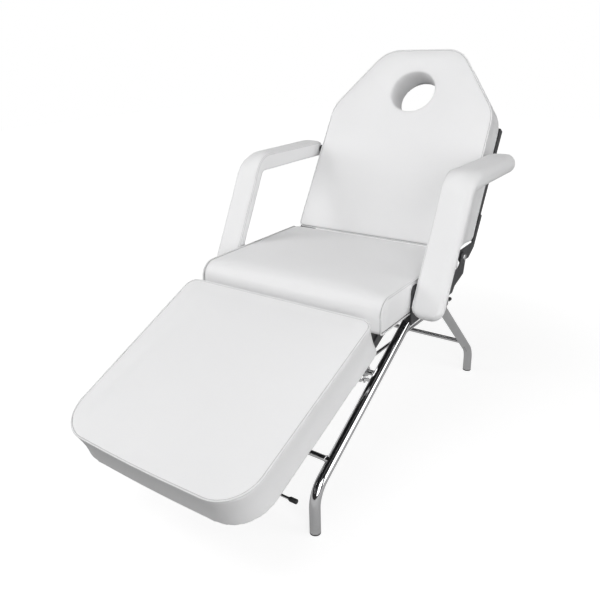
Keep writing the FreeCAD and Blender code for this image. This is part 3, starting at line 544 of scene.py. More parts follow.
def tinted(colour, factor):
    """The colour made darker or paler by the factor, with no part above 1."""
    return tuple(min(1.0, part * factor) for part in colour)


# Finishes

MATERIALS = {}


def grain_group():
    """Pebble grain: cells of a Voronoi pattern with soft creases, broken up by noise. Gives a height and a
    mask of the creases."""
    wiring, given, result = group_tree(
        "Pebble grain", {"Vector": None, "Cell size": 0.0016, "Unevenness": 0.5}, ("Height", "Creases"))
    vector = given["Vector"]
    stir = wiring.add("ShaderNodeTexNoise", {"Vector": vector, "Scale": 240.0, "Detail": 2.0})
    stir_reach = (0.0009, 0.0009, 0.0009)
    stirred = wiring.add("ShaderNodeVectorMath", {0: stir.outputs["Color"], 1: stir_reach, 2: vector},
                         operation="MULTIPLY_ADD").outputs[0]
    scale = wiring.maths("DIVIDE", 1.0, given["Cell size"])
    cells = wiring.add("ShaderNodeTexVoronoi", {"Vector": stirred, "Scale": scale},
                       feature="DISTANCE_TO_EDGE")
    pebbles = wiring.mapped(cells.outputs["Distance"], 0.0, 0.34)
    uneven = wiring.maths("MULTIPLY", wiring.noise(vector, 35.0, 4.0), given["Unevenness"])
    wiring.fill(result, {
        "Height": wiring.maths("ADD", pebbles, uneven),
        "Creases": wiring.maths("SUBTRACT", 1.0, pebbles),
    })
    return wiring.tree


def wear_group():
    """Edge wear and handling marks: a mask from how sharply the surface turns, broken up by noise, and a
    mask of smudges."""
    wiring, given, result = group_tree(
        "Edge wear and smudges", {"Vector": None, "Wear": 0.5, "Smudge size": 0.05}, ("Worn", "Smudges"))
    edge = wiring.mapped(wiring.add("ShaderNodeNewGeometry").outputs["Pointiness"], 0.53, 0.62)
    patchy = wiring.mapped(wiring.noise(given["Vector"], 190.0, 5.0), 0.42, 0.64, kind="LINEAR")
    worn = wiring.maths("MULTIPLY", wiring.maths("MULTIPLY", edge, patchy), given["Wear"])
    scale = wiring.maths("DIVIDE", 1.0, given["Smudge size"])
    smears = wiring.noise(given["Vector"], scale, 6.0, Distortion=0.6)
    wiring.fill(result, {"Worn": worn, "Smudges": wiring.mapped(smears, 0.40, 0.75)})
    return wiring.tree


def upholstery_material(settings):
    """Synthetic leather: pebble grain, soft cloudy tone, painted shade in a narrow band beside the welt standing
    in for the shadow in the crease where the cover is sewn to it, and small puckers that run out from the seam and
    fade."""
    material, wiring, shader, vector = new_material("White synthetic leather")
    grain = wiring.group("grain", Vector=vector, Unevenness=0.5, Cell_size=settings.grain)
    colour = settings.colour
    cloudy = wiring.mixed(wiring.noise(vector, 5.0, 3.0), tinted(colour, 0.985), tinted(colour, 1.012))
    grained = wiring.mixed(wiring.maths("MULTIPLY", grain["Creases"], 0.10), cloudy, tinted(colour, 0.72))
    side = wiring.attribute("seam_side")
    away = wiring.maths("ABSOLUTE", side)
    # Painted shade: just outside the welt the cover's colour is mixed half way towards three tenths of itself,
    # standing in for the shadow in the seam's crease
    sewn = wiring.mapped(away, settings.welt * 1.05, settings.welt * 1.75, 1.0, 0.0)
    shaded = wiring.mixed(wiring.maths("MULTIPLY", sewn, 0.50), grained, tinted(colour, 0.30))
    # Puckers: noise stretched across the seam, fading over two centimetres
    across = wiring.maths("MULTIPLY", side, 0.16)
    sewing = wiring.add("ShaderNodeCombineXYZ", {"X": wiring.attribute("seam_run"), "Y": across})
    fade = wiring.mapped(away, 0.002, 0.026, 4.6, 0.0)
    puckers = wiring.maths("MULTIPLY", wiring.noise(sewing.outputs["Vector"], 62.0, 1.5), fade)
    loose = wiring.maths("MULTIPLY_ADD", wiring.noise(vector, 8.0, 1.0), 5.0, puckers)
    wiring.fill(shader, {
        "Base Color": shaded,
        "Roughness": wiring.ranged(grain["Creases"], settings.roughness, settings.roughness + 0.16),
        "Specular IOR Level": 0.40,
        "Sheen Weight": 0.04,
        "Sheen Roughness": 0.4,
        "Normal": wiring.bump(wiring.maths("ADD", grain["Height"], loose), 0.00016, 0.6),
    })
    return material


def welt_material(settings):
    """The cover of the welt's cord: the same leather with a finer grain, drawn tight."""
    material, wiring, shader, vector = new_material("White welt cord cover")
    grain = wiring.group("grain", Vector=vector, Unevenness=0.3, Cell_size=settings.grain * 0.8)
    colour = settings.colour
    wiring.fill(shader, {
        "Base Color": wiring.mixed(grain["Creases"], tinted(colour, 1.01), tinted(colour, 0.9)),
        "Roughness": wiring.ranged(grain["Creases"], settings.roughness - 0.04, settings.roughness + 0.1),
        "Normal": wiring.bump(grain["Height"], 0.0001, 0.5),
    })
    return material


def chrome_material(settings):
    """Polished plate: a slow swirl in the reflections, smudges and dulled edges."""
    material, wiring, shader, vector = new_material("Polished chrome plate")
    wear = wiring.group("wear", Vector=vector, Wear=0.12, Smudge_size=0.035)
    smudged = wiring.mixed(wear["Smudges"], settings.chrome, tinted(settings.chrome, 0.95))
    dull_edge = (0.62, 0.60, 0.57)
    wiring.fill(shader, {
        "Base Color": wiring.mixed(wear["Worn"], smudged, dull_edge),
        "Metallic": 1.0,
        "Roughness": wiring.ranged(wear["Smudges"], 0.035, 0.10),
        "Normal": wiring.bump(wiring.noise(vector, 22.0, 1.0), 0.0003, 0.12),
    })
    return material


def coated_material(settings):
    """Powder coat: fine orange peel, dust in patches and bare metal on worn edges."""
    material, wiring, shader, vector = new_material("Dark powder coat")
    wear = wiring.group("wear", Vector=vector, Wear=0.12)
    dust = tuple(part * 1.5 + 0.01 for part in settings.coat)
    dusty = wiring.mixed(wiring.maths("MULTIPLY", wear["Smudges"], 0.35), settings.coat, dust)
    bare_metal = (0.32, 0.32, 0.33)
    wiring.fill(shader, {
        "Base Color": wiring.mixed(wear["Worn"], dusty, bare_metal),
        "Metallic": wear["Worn"],
        "Roughness": wiring.ranged(wear["Smudges"], 0.34, 0.52),
        "Normal": wiring.bump(wiring.noise(vector, 700.0), 0.0002, 0.35),
    })
    return material


def plastic_material():
    """Moulded plastic: a fine spark texture, greyed edges and smudges."""
    material, wiring, shader, vector = new_material("Black moulded plastic")
    wear = wiring.group("wear", Vector=vector, Wear=0.5)
    black, greyed = (0.012, 0.012, 0.013), (0.09, 0.09, 0.09)
    wiring.fill(shader, {
        "Base Color": wiring.mixed(wear["Worn"], black, greyed),
        "Roughness": wiring.ranged(wear["Smudges"], 0.38, 0.6),
        "Normal": wiring.bump(wiring.noise(vector, 1500.0), 0.00012, 0.5),
    })
    return material


def lining_material(settings):
    """Non-woven lining cloth: short matted fibres, from noise stretched two ways, over a dimpled press
    pattern."""
    material, wiring, shader, vector = new_material("Black lining cloth")
    stretched = [wiring.add("ShaderNodeMapping", {"Vector": vector, "Scale": stretch}).outputs["Vector"]
                 for stretch in ((1.0, 0.12, 1.0), (0.12, 1.0, 1.0))]
    fibres = wiring.maths("MAXIMUM", *[wiring.noise(place, 900.0, 3.0) for place in stretched])
    dimples = wiring.add("ShaderNodeTexVoronoi", {"Vector": vector, "Scale": 420.0}).outputs["Distance"]
    wiring.fill(shader, {
        "Base Color": wiring.mixed(fibres, tinted(settings.lining, 0.6), tinted(settings.lining, 1.9)),
        "Roughness": wiring.ranged(fibres, 0.78, 0.95),
        "Specular IOR Level": 0.2,
        "Normal": wiring.bump(wiring.maths("ADD", fibres, dimples), 0.0003, 0.6),
    })
    return material


def dress(built, material_name):
    """Give a piece its material."""
    built.data.materials.clear()
    built.data.materials.append(MATERIALS[material_name])


# Cushions. Each is drawn flat in its own (x, along, out) axes and then carried to its hinge.

def settle(pad, seams, pivot, angle, body, node):
    mark_seams(pad, seams)
    put_points(pad, carried(points_of(pad), pivot, angle))
    dress(pad, "upholstery")
    subdivided(pad)
    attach(pad, body)
    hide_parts(node)


def add_welt(name, sewn, radius, pivot, angle, body):
    """The welt of a seam, carried to its place. Its first side vector leans half way from the border's
    normal to the panel's."""
    line, border_out, panel_out = sewn
    welt = seam(name, line, radius, border_out + panel_out)
    put_points(welt, carried(points_of(welt), pivot, angle))
    dress(welt, "welt")
    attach(welt, body)


def seam_inset(edge):
    """How far the middle of a rounded edge lies inside each of its two faces."""
    return edge * (1.0 - math.cos(math.pi / 4.0))


def panel_seam(outline, normals, edge, high):
    """The seam round a pad's top panel, in the middle of its rounded edge, with the border's and the
    panel's outward normals."""
    corner = seam_inset(edge)
    line = np.column_stack([outline - normals * corner, np.full(len(outline), high - corner)])
    border_out = np.column_stack([normals, np.zeros(len(normals))])
    panel_out = np.tile([0.0, 0.0, 1.0], (len(normals), 1))
    return line, border_out, panel_out


def held_by_seam(distance):
    """1 within a centimetre of a seam, fading to 0 at five."""
    return 1.0 - smooth_step(0.010, 0.05, distance)


def held_below(height, depth, reach):
    """1 from depth downwards, fading to 0 at reach: the border and what lies under it don't swell."""
    return 1.0 - smooth_step(depth, reach, height)


def leg_cushion(settings):
    """The leg rest's pad. Its plan is a rounded outline; its border is the edge profile carried round it;
    its top is rings shrinking to the middle, raised by crown times (1 - share cubed)."""
    low, high, crown = LEG_BOARD_LOW + BOARD_REVEAL, 0.111, 0.0075
    outline, normals = rounded_outline(LEG_PLAN, [0.104, 0.104, 0.032, 0.032], OUTLINE_STEP)
    # The foot end bows out a little between its corners
    bow, half_bow = 0.0035, 0.2
    bowed = bow * np.cos(np.clip(outline[:, 0] / half_bow, -1.0, 1.0) * math.pi / 2.0)
    outline[:, 1] -= bowed * smooth_step(0.60, 0.64, -outline[:, 1])
    edge = settings.seat_edge
    rings = inset_rings(outline, normals, edge_profile(low, high, edge))
    middle = (LEG_REAR + LEG_FOOT) / 2.0
    shares = np.linspace(0.04, 0.96, 14)
    top = spread_rings(rings[0], np.array([0.0, middle, high]), shares)
    for share, ring in zip(shares, top):
        ring[:, 2] = high + crown * (1.0 - share ** 3.0)
    bottom = spread_rings(rings[-1], np.array([0.0, middle, low]), shares[::-2])
    pad = skin("leg_rest_cushion", top + rings + bottom)

    def held(points):
        """How firmly the cover is held at each point."""
        return np.maximum(held_by_seam(distance_to(points[:, :2], outline)),
                          held_below(points[:, 2], high - 0.030, high - 0.004))

    inflate(pad, held, settings.lift)
    # A faint long hollow beside the left edge, where the cover is slack: a bell curve across a swaying line
    hollow_x, sway, waves, width, depth = 0.236, 0.016, 8.0, 0.020, 0.0026
    fold = points_of(pad)
    hollow = np.exp(-((fold[:, 0] + hollow_x + sway * np.sin(fold[:, 1] * waves)) / width) ** 2)
    hollow *= smooth_step(0.10, 0.22, -fold[:, 1]) * (1.0 - smooth_step(0.54, 0.61, -fold[:, 1]))
    fold[:, 2] -= depth * hollow * smooth_step(high - 0.004, high + 0.002, fold[:, 2])
    put_points(pad, fold)
    sewn = panel_seam(outline, normals, edge, high)
    settle(pad, [sewn], LEG_HINGE, LEG_ANGLE, "leg_rest", "leg_cushion")
    add_welt("leg_rest_welt", sewn, settings.welt, LEG_HINGE, LEG_ANGLE, "leg_rest")


def seat_cushion(settings):
    """The seat's pad. Its side view is a rounded outline that rolls over at the front; it is carried across
    the seat with rounded sewn edges, and its top is raised by crown times (1 - (x over half the width) to
    the 4th) times the square root of 4f(1 - f), f being the share of the way back."""
    low, high, half, crown = SEAT_BOARD_LOW + BOARD_REVEAL, SEAT_TOP, HALF_WIDTH, 0.0065
    corners = [(0.0, low), (SEAT_LENGTH, low), (SEAT_LENGTH, high), (0.0, high)]
    outline, normals = rounded_outline(corners, [0.008, 0.008, 0.026, 0.047], 0.007)
    edge = settings.seat_edge
    middle = np.array([SEAT_LENGTH / 2.0, (low + high) / 2.0])

    def ring_at(x, inset, share=1.0):
        flat = outline - normals * inset
        flat = middle + share * (flat - middle)
        return np.column_stack([np.full(len(flat), x), flat])

    quarter = quarter_turn(EDGE_SAMPLES)
    rounded = list(zip(half - edge * (1.0 - np.cos(quarter)), edge * (1.0 - np.sin(quarter))[::-1]))
    shares = np.linspace(0.1, 0.9, 6)
    bulge = 0.001
    side = half + bulge
    rings = [ring_at(-side + bulge * share ** 2, edge, share) for share in shares]
    rings += [ring_at(-x, inset) for x, inset in rounded]
    rings += [ring_at(x, 0.0) for x in (half - edge) * np.linspace(-1.0, 1.0, 61)[1:-1]]
    rings += [ring_at(x, inset) for x, inset in rounded]
    rings += [ring_at(side - bulge * share ** 2, edge, share) for share in shares[::-1]]
    rings = np.array(rings)
    up = smooth_step(low + 0.03, high - 0.006, rings[..., 2])
    fore = np.clip(rings[..., 1], 0.0, SEAT_LENGTH) / SEAT_LENGTH
    rings[..., 2] += crown * up * (1.0 - (rings[..., 0] / half) ** 4) * np.sqrt(np.maximum(
        0.0, 4.0 * fore * (1.0 - fore)))
    pad = skin("seat_cushion_cover", rings)

    def held(points):
        """How firmly the cover is held at each point."""
        behind = smooth_step(0.47, 0.5, points[:, 1])
        return np.maximum.reduce([held_by_seam(half - np.abs(points[:, 0])),
                                  held_below(points[:, 2], high - 0.05, high - 0.012), behind])

    inflate(pad, held, settings.lift)
    corner = seam_inset(edge)
    flat = outline - normals * corner
    seams = {}
    for side_name, sign in SIDES.items():
        line = np.column_stack([np.full(len(flat), sign * (half - corner)), flat])
        border_out = np.tile([sign, 0.0, 0.0], (len(flat), 1))
        seams[side_name] = (line, border_out, np.column_stack([np.zeros(len(flat)), normals]))
    settle(pad, list(seams.values()), SEAT_FRONT, 0.0, "base", "seat_cushion")
    for side_name, sewn in seams.items():
        add_welt("seat_welt_" + side_name, sewn, settings.welt, SEAT_FRONT, 0.0, "base")


def back_cushion(settings):
    """The backrest's pad with its face hole. Its plan is a rounded outline; its top is rings that run from
    the outline to the hole's ellipse; the hole's wall runs down and out again underneath, so the skin
    closes on itself as a ring does. The low end is slanted by shifting it along in step with its depth."""
    low, high = -0.064 + BOARD_REVEAL, 0.033
    start, end, length = 0.010, 0.692, 0.675
    shoulder, hole_middle = start + length * 0.69, start + length * 0.785
    corners = [(-HALF_WIDTH, start), (HALF_WIDTH, start), (0.303, shoulder), (0.141, end), (-0.141, end),
               (-0.303, shoulder)]
    outline, normals = rounded_outline(corners, [0.020, 0.020, 0.120, 0.105, 0.105, 0.120], OUTLINE_STEP)
    edge = settings.seat_edge
    rings = inset_rings(outline, normals, edge_profile(low, high, edge))
    hole = np.array([0.0, hole_middle])
    half_across, half_along, roll = 0.078, 0.071, 0.009
    angle = np.arctan2(outline[:, 1] - hole[1], outline[:, 0])
    rim = np.stack([np.cos(angle), np.sin(angle)], axis=-1)
    radius = 1.0 / np.sqrt((rim[:, 0] / half_across) ** 2 + (rim[:, 1] / half_along) ** 2)
    rim = rim * radius[:, None]

    def hole_ring(grow, height):
        """The hole's ellipse grown by a length all round, at this height."""
        flat = hole + rim * (1.0 + grow / radius[:, None])
        return np.column_stack([flat, np.full(len(flat), height)])

    wall = [hole_ring(roll * (1.0 - math.cos(math.pi / 2.0 - turn)), high - roll * (1.0 - math.cos(turn)))
            for turn in quarter_turn(6)]
    # The wall draws in by a millimetre and bellies a little more half way down
    draw, belly = 0.001, 0.0015
    wall += [hole_ring(-draw - belly * math.sin(math.pi * share), high - roll + share * (low - high + roll))
             for share in np.linspace(0.0, 1.0, 8)[1:]]
    # The cover is wrapped round the board's hole and stapled under it
    under = low - BOARD_REVEAL - 0.0008
    wall += [hole_ring(-draw, under + 0.002), hole_ring(draw, under), hole_ring(0.024, under),
             hole_ring(0.026, low + 0.003)]
    spread = np.linspace(0.0, 1.0, 12)[1:-1]
    top_crown = 0.007
    top = []
    for share in spread:
        ring = (1.0 - share) * wall[0] + share * rings[0]
        ring[:, 2] = high + top_crown * math.sin(math.pi * share) ** 0.8
        top.append(ring)
    inner = np.column_stack([rings[-1][:, :2], np.full(len(rings[-1]), low)])
    bottom = [(1.0 - share) * inner + share * wall[-1] for share in spread[::2]]
    loops = np.array(top + rings + bottom + wall[::-1])
    low_end = math.radians(30.0)
    slant = (high - loops[..., 2]) * math.tan(low_end)
    loops[..., 1] += slant * (1.0 - smooth_step(0.02, 0.16, loops[..., 1]))
    pad = skin("backrest_cushion", loops, wrap=True)

    def held(points):
        """How firmly the cover is held at each point."""
        from_hole = np.hypot(points[:, 0] / half_across, (points[:, 1] - hole[1]) / half_along)
        return np.maximum.reduce([
            held_by_seam(distance_to(points[:, :2], outline)),
            1.0 - smooth_step(1.15, 1.7, from_hole),
            held_below(points[:, 2], high - 0.030, high - 0.004),
        ])

    inflate(pad, held, settings.lift)
    sewn = panel_seam(outline, normals, edge, high)
    settle(pad, [sewn], RECLINE, BACK_ANGLE, "backrest", "back_cushion")
    add_welt("backrest_welt", sewn, settings.welt, RECLINE, BACK_ANGLE, "backrest")


# Armrests

def stretch_shares(length, cap, count):
    """Shares along a stretch: its first part, the cap, in the places of a quarter circle, and the rest
    evenly."""
    first_turn, cap_samples = 0.14, 9
    turn = np.linspace(first_turn, math.pi / 2.0, cap_samples)
    return np.concatenate([cap / length * (1.0 - np.cos(turn)), np.linspace(cap / length, 1.0, count)[1:]])


def filleted(corner_points, radius, lower_shares, arc_samples, upper_shares):
    """A path through three (y, z) points whose middle corner is an arc of the radius. The lower shares
    place the samples before the arc, counted from the first point, and the upper ones those after it, from
    the last."""
    first, corner, last = corner_points
    centre, begin, turn, _ = corner_arc(first, corner, last, radius)
    sweep = begin + np.linspace(0.0, turn, arc_samples)
    arc = centre + radius * np.stack([np.cos(sweep), np.sin(sweep)], axis=-1)
    lower = first + lower_shares[:-1, None] * (arc[0] - first)
    upper = last + upper_shares[:-1, None] * (arc[-1] - last)
    return np.vstack([lower, arc, upper[::-1]])


def section_table():
    """Where each point of a rounded rectangle lies: its corner across and through, from -1 to 1, and the
    angle of its outward normal. The four arcs keep their corner, and the flats run from one corner to the
    next."""
    arc_samples, flat_samples, side_samples = 7, 9, 4
    across, through, angle = [], [], []
    corners = [(1.0, 1.0), (-1.0, 1.0), (-1.0, -1.0), (1.0, -1.0)]
    for index, (here, nearby) in enumerate(zip(corners, corners[1:] + corners[:1])):
        turn = math.pi / 2.0 * (index + np.linspace(0.0, 1.0, arc_samples))
        between = side_samples if index % 2 else flat_samples
        share = np.linspace(0.0, 1.0, between + 2)[1:-1]
        across += [np.full(arc_samples, here[0]), here[0] + share * (nearby[0] - here[0])]
        through += [np.full(arc_samples, here[1]), here[1] + share * (nearby[1] - here[1])]
        angle += [turn, np.full(between, turn[-1])]
    return np.concatenate(across), np.concatenate(through), np.concatenate(angle)


def arc_share(distance, radius):
    """How high a rounded end stands this far from its tip: the square root of 1 - (1 - s) squared, s being
    the distance over the radius."""
    return np.sqrt(1.0 - (1.0 - np.clip(distance / radius, 0.0, 1.0)) ** 2)


def armrest(settings, side_name, sign):
    """One armrest cover over both bars: a rounded rectangle carried from below the seat pivot round the
    bend to the tip. Its outer and inner lines are two paths with bend radii of their own, and each section
    spans from one to the other. At both ends the width follows a plan arc and the thickness a side arc; the
    tip's inner corner has a small plan arc, over the end of the bar."""
    run = ARM_BEND - ARM_SEAT
    run = run / np.linalg.norm(run)
    below_seat_pivot, past_bend = 0.072, 0.366
    start = ARM_SEAT - run * below_seat_pivot
    tip = ARM_BEND + np.array([past_bend, 0.0])
    out_low = np.array([-run[1], run[0]])
    out_top = np.array([0.0, 1.0])
    low_half, top_out, top_in = 0.0140, 0.0268, 0.0236
    plan_round, tip_inner_round, side_round = 0.036, 0.012, 0.022
    bend_samples = 26
    low_shares = stretch_shares(0.30, plan_round, 22)
    top_shares = stretch_shares(0.29, plan_round, 26)

    def offset_path(low_distance, top_distance, radius):
        begin = start + out_low * low_distance
        finish = tip + out_top * top_distance
        # Where the two offset lines cross
        share = (finish[1] - begin[1]) / run[1]
        return filleted((begin, begin + run * share, finish), radius, low_shares, bend_samples, top_shares)

    outer_bend, inner_bend = 0.118, 0.022
    outer = offset_path(low_half, top_out, outer_bend)
    inner = offset_path(-low_half, -top_in, inner_bend)
    mid = (outer + inner) / 2.0
    length = run_along(mid)
    total = length[-1]
    end_gap = 0.0004
    from_end = np.minimum(length + end_gap, total - length + end_gap)
    half = outer - mid
    thick = np.linalg.norm(half, axis=1)
    half_out = half / thick[:, None]
    thin = arc_share(from_end, side_round)
    x_in, x_out = 0.3200, 0.4120
    centre_x = (x_in + x_out) / 2.0

    def half_width(corner):
        """The half width of every section, rounded off at the ends with this plan radius."""
        return (x_out - x_in) / 2.0 - corner * (1.0 - arc_share(from_end, corner))

    wide_in = half_width(np.where(length < total / 2.0, plan_round, tip_inner_round))
    wide_out = half_width(plan_round)
    thick = thick * thin
    radius_in = np.minimum(0.0100, 0.70 * thick)
    radius_out = np.minimum(0.0235, 0.97 * thick)
    # The cover stands out over the bend's pivot, which sits near the inner side
    elbow = outer[len(low_shares) + bend_samples // 2 - 1]
    bulge, bulge_width = 0.0115, 0.045
    over_pivot = bulge * np.exp(-(np.linalg.norm(outer - elbow, axis=1) / bulge_width) ** 2)
    crown_outside, crown_inside = 0.0042, 0.0016

    def section(across, through, angle, swell=1.0):
        """Points of every section for the given places of the table, each face swollen by its crown times
        (1 - share of the width squared)."""
        cos, sin = np.cos(angle)[None, :], np.sin(angle)[None, :]
        share = (across[None, :] + 1.0) / 2.0
        low_x, high_x = (radius_in - wide_in)[:, None], (wide_out - radius_out)[:, None]
        radius = radius_in[:, None] + share * (radius_out - radius_in)[:, None]
        x = low_x + share * (high_x - low_x) + radius * cos
        out = through[None, :] * (thick[:, None] - radius) + radius * sin
        towards_outer = (out / thick[:, None] + 1.0) / 2.0
        out = out + over_pivot[:, None] * towards_outer * (1.0 - smooth_step(-0.020, 0.035, x))
        hump = 1.0 - (x / np.where(x < 0.0, wide_in[:, None], wide_out[:, None])) ** 2
        out = out + swell * thin[:, None] * hump * (
            crown_outside * np.maximum(0.0, sin) ** 4 - crown_inside * np.maximum(0.0, -sin) ** 4)
        place = mid[:, None, :] + out[:, :, None] * half_out[:, None, :]
        return np.concatenate([sign * (centre_x + x)[:, :, None], place], axis=2)

    pad = skin("armrest_cover_" + side_name, section(*section_table()))
    # The seam runs along both inner edges and round the ends, four sections short of each tip
    keep = slice(4, len(mid) - 4)
    edges = section(np.array([-1.0, -1.0]), np.array([1.0, -1.0]), np.radians([135.0, 225.0]), 0.0)[keep]
    loop = np.vstack([edges[:, 0], edges[::-1, 1]])
    faces_out = np.column_stack([np.zeros(len(mid)), half_out])[keep]
    panel_out = np.vstack([faces_out, -faces_out[::-1]])
    border_out = np.tile([-sign, 0.0, 0.0], (len(loop), 1))
    mark_seams(pad, [(loop, border_out, panel_out)])
    dress(pad, "upholstery")
    subdivided(pad)
    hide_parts("arm_lower_pad_" + side_name, "arm_upper_pad_" + side_name)
    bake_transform(pad)
    welt = seam("armrest_welt_" + side_name, loop, settings.welt * 0.85, border_out + panel_out)
    dress(welt, "welt")
    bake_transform(welt)


# Hardware

def turned(name, profile, centre, axis, around=28):
    """A turned part: the profile's (radius, along) pairs carried round the axis. Each ring is the centre
    plus along times the axis plus radius times (cosine of the angle times one side vector plus sine times
    the other)."""
    axis = np.asarray(axis, float) / np.linalg.norm(axis)
    nearly_upright = 0.9
    guide = np.array([0.0, 0.0, 1.0]) if abs(axis[2]) < nearly_upright else np.array([1.0, 0.0, 0.0])
    first = np.cross(axis, guide)
    first /= np.linalg.norm(first)
    second = np.cross(axis, first)
    angle = full_turn(around)
    spoke = np.cos(angle)[:, None] * first + np.sin(angle)[:, None] * second
    profile = np.asarray(profile)
    rings = (np.asarray(centre) + profile[:, 1, None, None] * axis
             + profile[:, 0, None, None] * spoke[None, :, :])
    return skin(name, rings)


def fittings(name, parts):
    """Several new meshes as one chromed object on the stand."""
    points, faces, offset = [], [], 0
    for part in parts:
        mesh = part.data
        points.append(points_of(part))
        faces += [[corner + offset for corner in polygon.vertices] for polygon in mesh.polygons]
        offset += len(mesh.vertices)
        bpy.data.objects.remove(part)
        bpy.data.meshes.remove(mesh)
    built = meshed(name, np.vstack(points), faces)
    dress(built, "chrome")
    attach(built, "base")


def weld_bead(name, centre, axis, radius, bead):
    """A weld bead round a bar: a ring tube whose thickness ripples with the cosine of the ripples times the
    angle, and which follows the round tube that the bar runs into by a cosine of twice the angle."""
    ripples, ripple_share, follow = 22, 0.16, 0.0012
    angle = full_turn(ripples * 6)
    around = full_turn(8)
    thick = bead * (1.0 + ripple_share * np.cos(ripples * angle))
    along = follow * np.cos(2.0 * angle)
    ring = radius + thick[:, None] * np.cos(around)[None, :]
    x = centre[0] + axis * (along[:, None] + thick[:, None] * np.sin(around)[None, :])
    y = centre[1] + ring * np.cos(angle)[:, None]
    z = centre[2] + ring * np.sin(angle)[:, None]
    return skin(name, np.stack([x, y, z], axis=-1), wrap=True)


def middle_of(name):
    """The middle of a node's box and its half sizes."""
    low, high = (np.array(corner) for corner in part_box(name))
    return (low + high) / 2.0, (high - low) / 2.0


def grip(name, node, axis, body):
    """A moulded grip in place of the lever's plain one: a turned profile whose radius ripples with the
    cosine of the way along, between a collar and a domed end."""
    centre, _ = middle_of(node)
    half, radius, ribs = 0.012, 0.0062, 7
    along = np.linspace(-half * 0.72, half * 0.70, ribs * 8 + 1)
    share = (along - along[0]) / (along[-1] - along[0])
    ribbed = radius * (0.955 - 0.045 * np.cos(share * ribs * TAU))
    dome = np.linspace(0.0, math.pi / 2.0 * 0.96, 7)
    profile = [(radius * 0.62, -half), (radius * 0.74, -half * 0.97), (radius * 0.78, -half * 0.86),
               *zip(ribbed, along),
               *zip(radius * np.cos(dome), half * 0.74 + half * 0.26 * np.sin(dome))]
    built = turned(name, profile, centre, axis)
    dress(built, "black_plastic")
    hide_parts(node)
    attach(built, body)


def wing_bolt(name, head, length):
    """A clamp's wing bolt: a turned shank with a rippled thread, a washer and a hub, and two wings, each a
    flattened lobe whose half sizes follow the sine of the way round, turned a little about the bolt."""
    upright = (0.0, 0.0, 1.0)
    threads, core, thread_depth = 12, 0.0030, 0.00028
    along = np.linspace(0.0, length, threads * 6 + 1)
    shank = core + thread_depth * np.cos(along / length * threads * TAU)
    washer = [(0.0, 0.001), (0.0078, 0.001), (0.0080, 0.0), (0.0080, -0.0012), (0.0078, -0.002),
              (core, -0.002)]
    hub = [(0.0035, 0.004), (0.0068, 0.003), (0.0072, -0.003), (0.0050, -0.005)]
    seat = np.asarray(head) - np.array([0.0, 0.0, length * 0.62])
    parts = [turned(name + "_shank", [*zip(shank, -along), (0.0016, -length - 0.0008)], head, upright),
             turned(name + "_washer", washer, head, upright),
             turned(name + "_hub", hub, seat, upright)]
    nearly_pole = 0.08
    polar = np.linspace(nearly_pole, math.pi - nearly_pole, 11)
    around = full_turn(20)
    for side in (-1.0, 1.0):
        out = side * (0.0105 - 0.0072 * np.cos(polar))[:, None] + 0.0 * around
        high = 0.0068 * np.sin(polar)[:, None] * np.cos(around) - 0.22 * np.abs(out) + 0.001
        deep = 0.0019 * np.sin(polar)[:, None] * np.sin(around)
        lobe = np.stack([0.82 * out - 0.57 * deep, 0.57 * out + 0.82 * deep, high], axis=-1)
        parts.append(skin(name + "_wing", seat + lobe))
    return parts


def staples(name, outline, normals, height, pivot, angle, spacing, body):
    """Staples along a board's underside: each a wire bent down at both ends, its four rings the same small
    hexagon, placed by the outline's run and turned to follow it."""
    run = run_along(outline)
    places = np.arange(spacing / 2.0, run[-1], spacing)
    spot = np.stack([np.interp(places, run, outline[:, column]) for column in (0, 1)], axis=-1)
    out = unit(np.stack([np.interp(places, run, normals[:, column]) for column in (0, 1)], axis=-1))
    along = np.stack([-out[:, 1], out[:, 0]], axis=-1)
    half, wire, leg, crown = 0.0048, 0.00055, -0.002, 0.0004
    path = np.array([(-half, leg), (-half, crown), (half, crown), (half, leg)])
    lean = np.array([(1.0, 0.0), (0.7, 0.7), (-0.7, 0.7), (-1.0, 0.0)])
    rings, around = len(path), 6
    turn = full_turn(around)
    local = np.stack([
        path[:, 0, None] + wire * np.cos(turn) * lean[:, 0, None],
        wire * np.sin(turn)[None, :] + 0.0 * path[:, :1],
        path[:, 1, None] + wire * np.cos(turn) * lean[:, 1, None],
    ], axis=-1).reshape(-1, 3)
    flat = (spot[:, None, :] + local[None, :, 0, None] * along[:, None, :]
            + local[None, :, 1, None] * out[:, None, :])
    tall = height - np.broadcast_to(local[None, :, 2], flat.shape[:2])
    points = np.concatenate([flat, tall[:, :, None]], axis=2).reshape(-1, 3)
    # Each wire end is closed with two quads, the far end's the other way round
    near_cap = np.array([[0, 1, 2, 3], [0, 3, 4, 5]])
    far_cap = (rings - 1) * around + near_cap[:, [0, 3, 2, 1]]
    one = np.vstack([grid_faces(rings, around), near_cap, far_cap])
    faces = (one[None, :, :] + rings * around * np.arange(len(places))[:, None, None]).reshape(-1, 4)
    built = meshed(name, carried(points, pivot, angle), faces.tolist())
    dress(built, "chrome")
    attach(built, body)


def board_staples(settings):
    """Rows of staples round the lining of two boards, a little in from the board's edge."""
    seat_plan = [(-HALF_WIDTH, 0.0), (HALF_WIDTH, 0.0), (HALF_WIDTH, SEAT_LENGTH), (-HALF_WIDTH, SEAT_LENGTH)]
    rows = {
        "leg_rest_staples": (LEG_PLAN, [0.106, 0.106, 0.024, 0.024], LEG_BOARD_LOW, LEG_HINGE, LEG_ANGLE,
                             "leg_rest"),
        "seat_staples": (seat_plan, [0.02] * 4, SEAT_BOARD_LOW, SEAT_FRONT, 0.0, "base"),
    }
    inset = BOARD_INSET + 0.008
    for name, (corners, radii, height, pivot, angle, body) in rows.items():
        outline, normals = rounded_outline(corners, radii, OUTLINE_STEP)
        staples(name, outline - normals * inset, normals, height, pivot, angle, settings.staple, body)


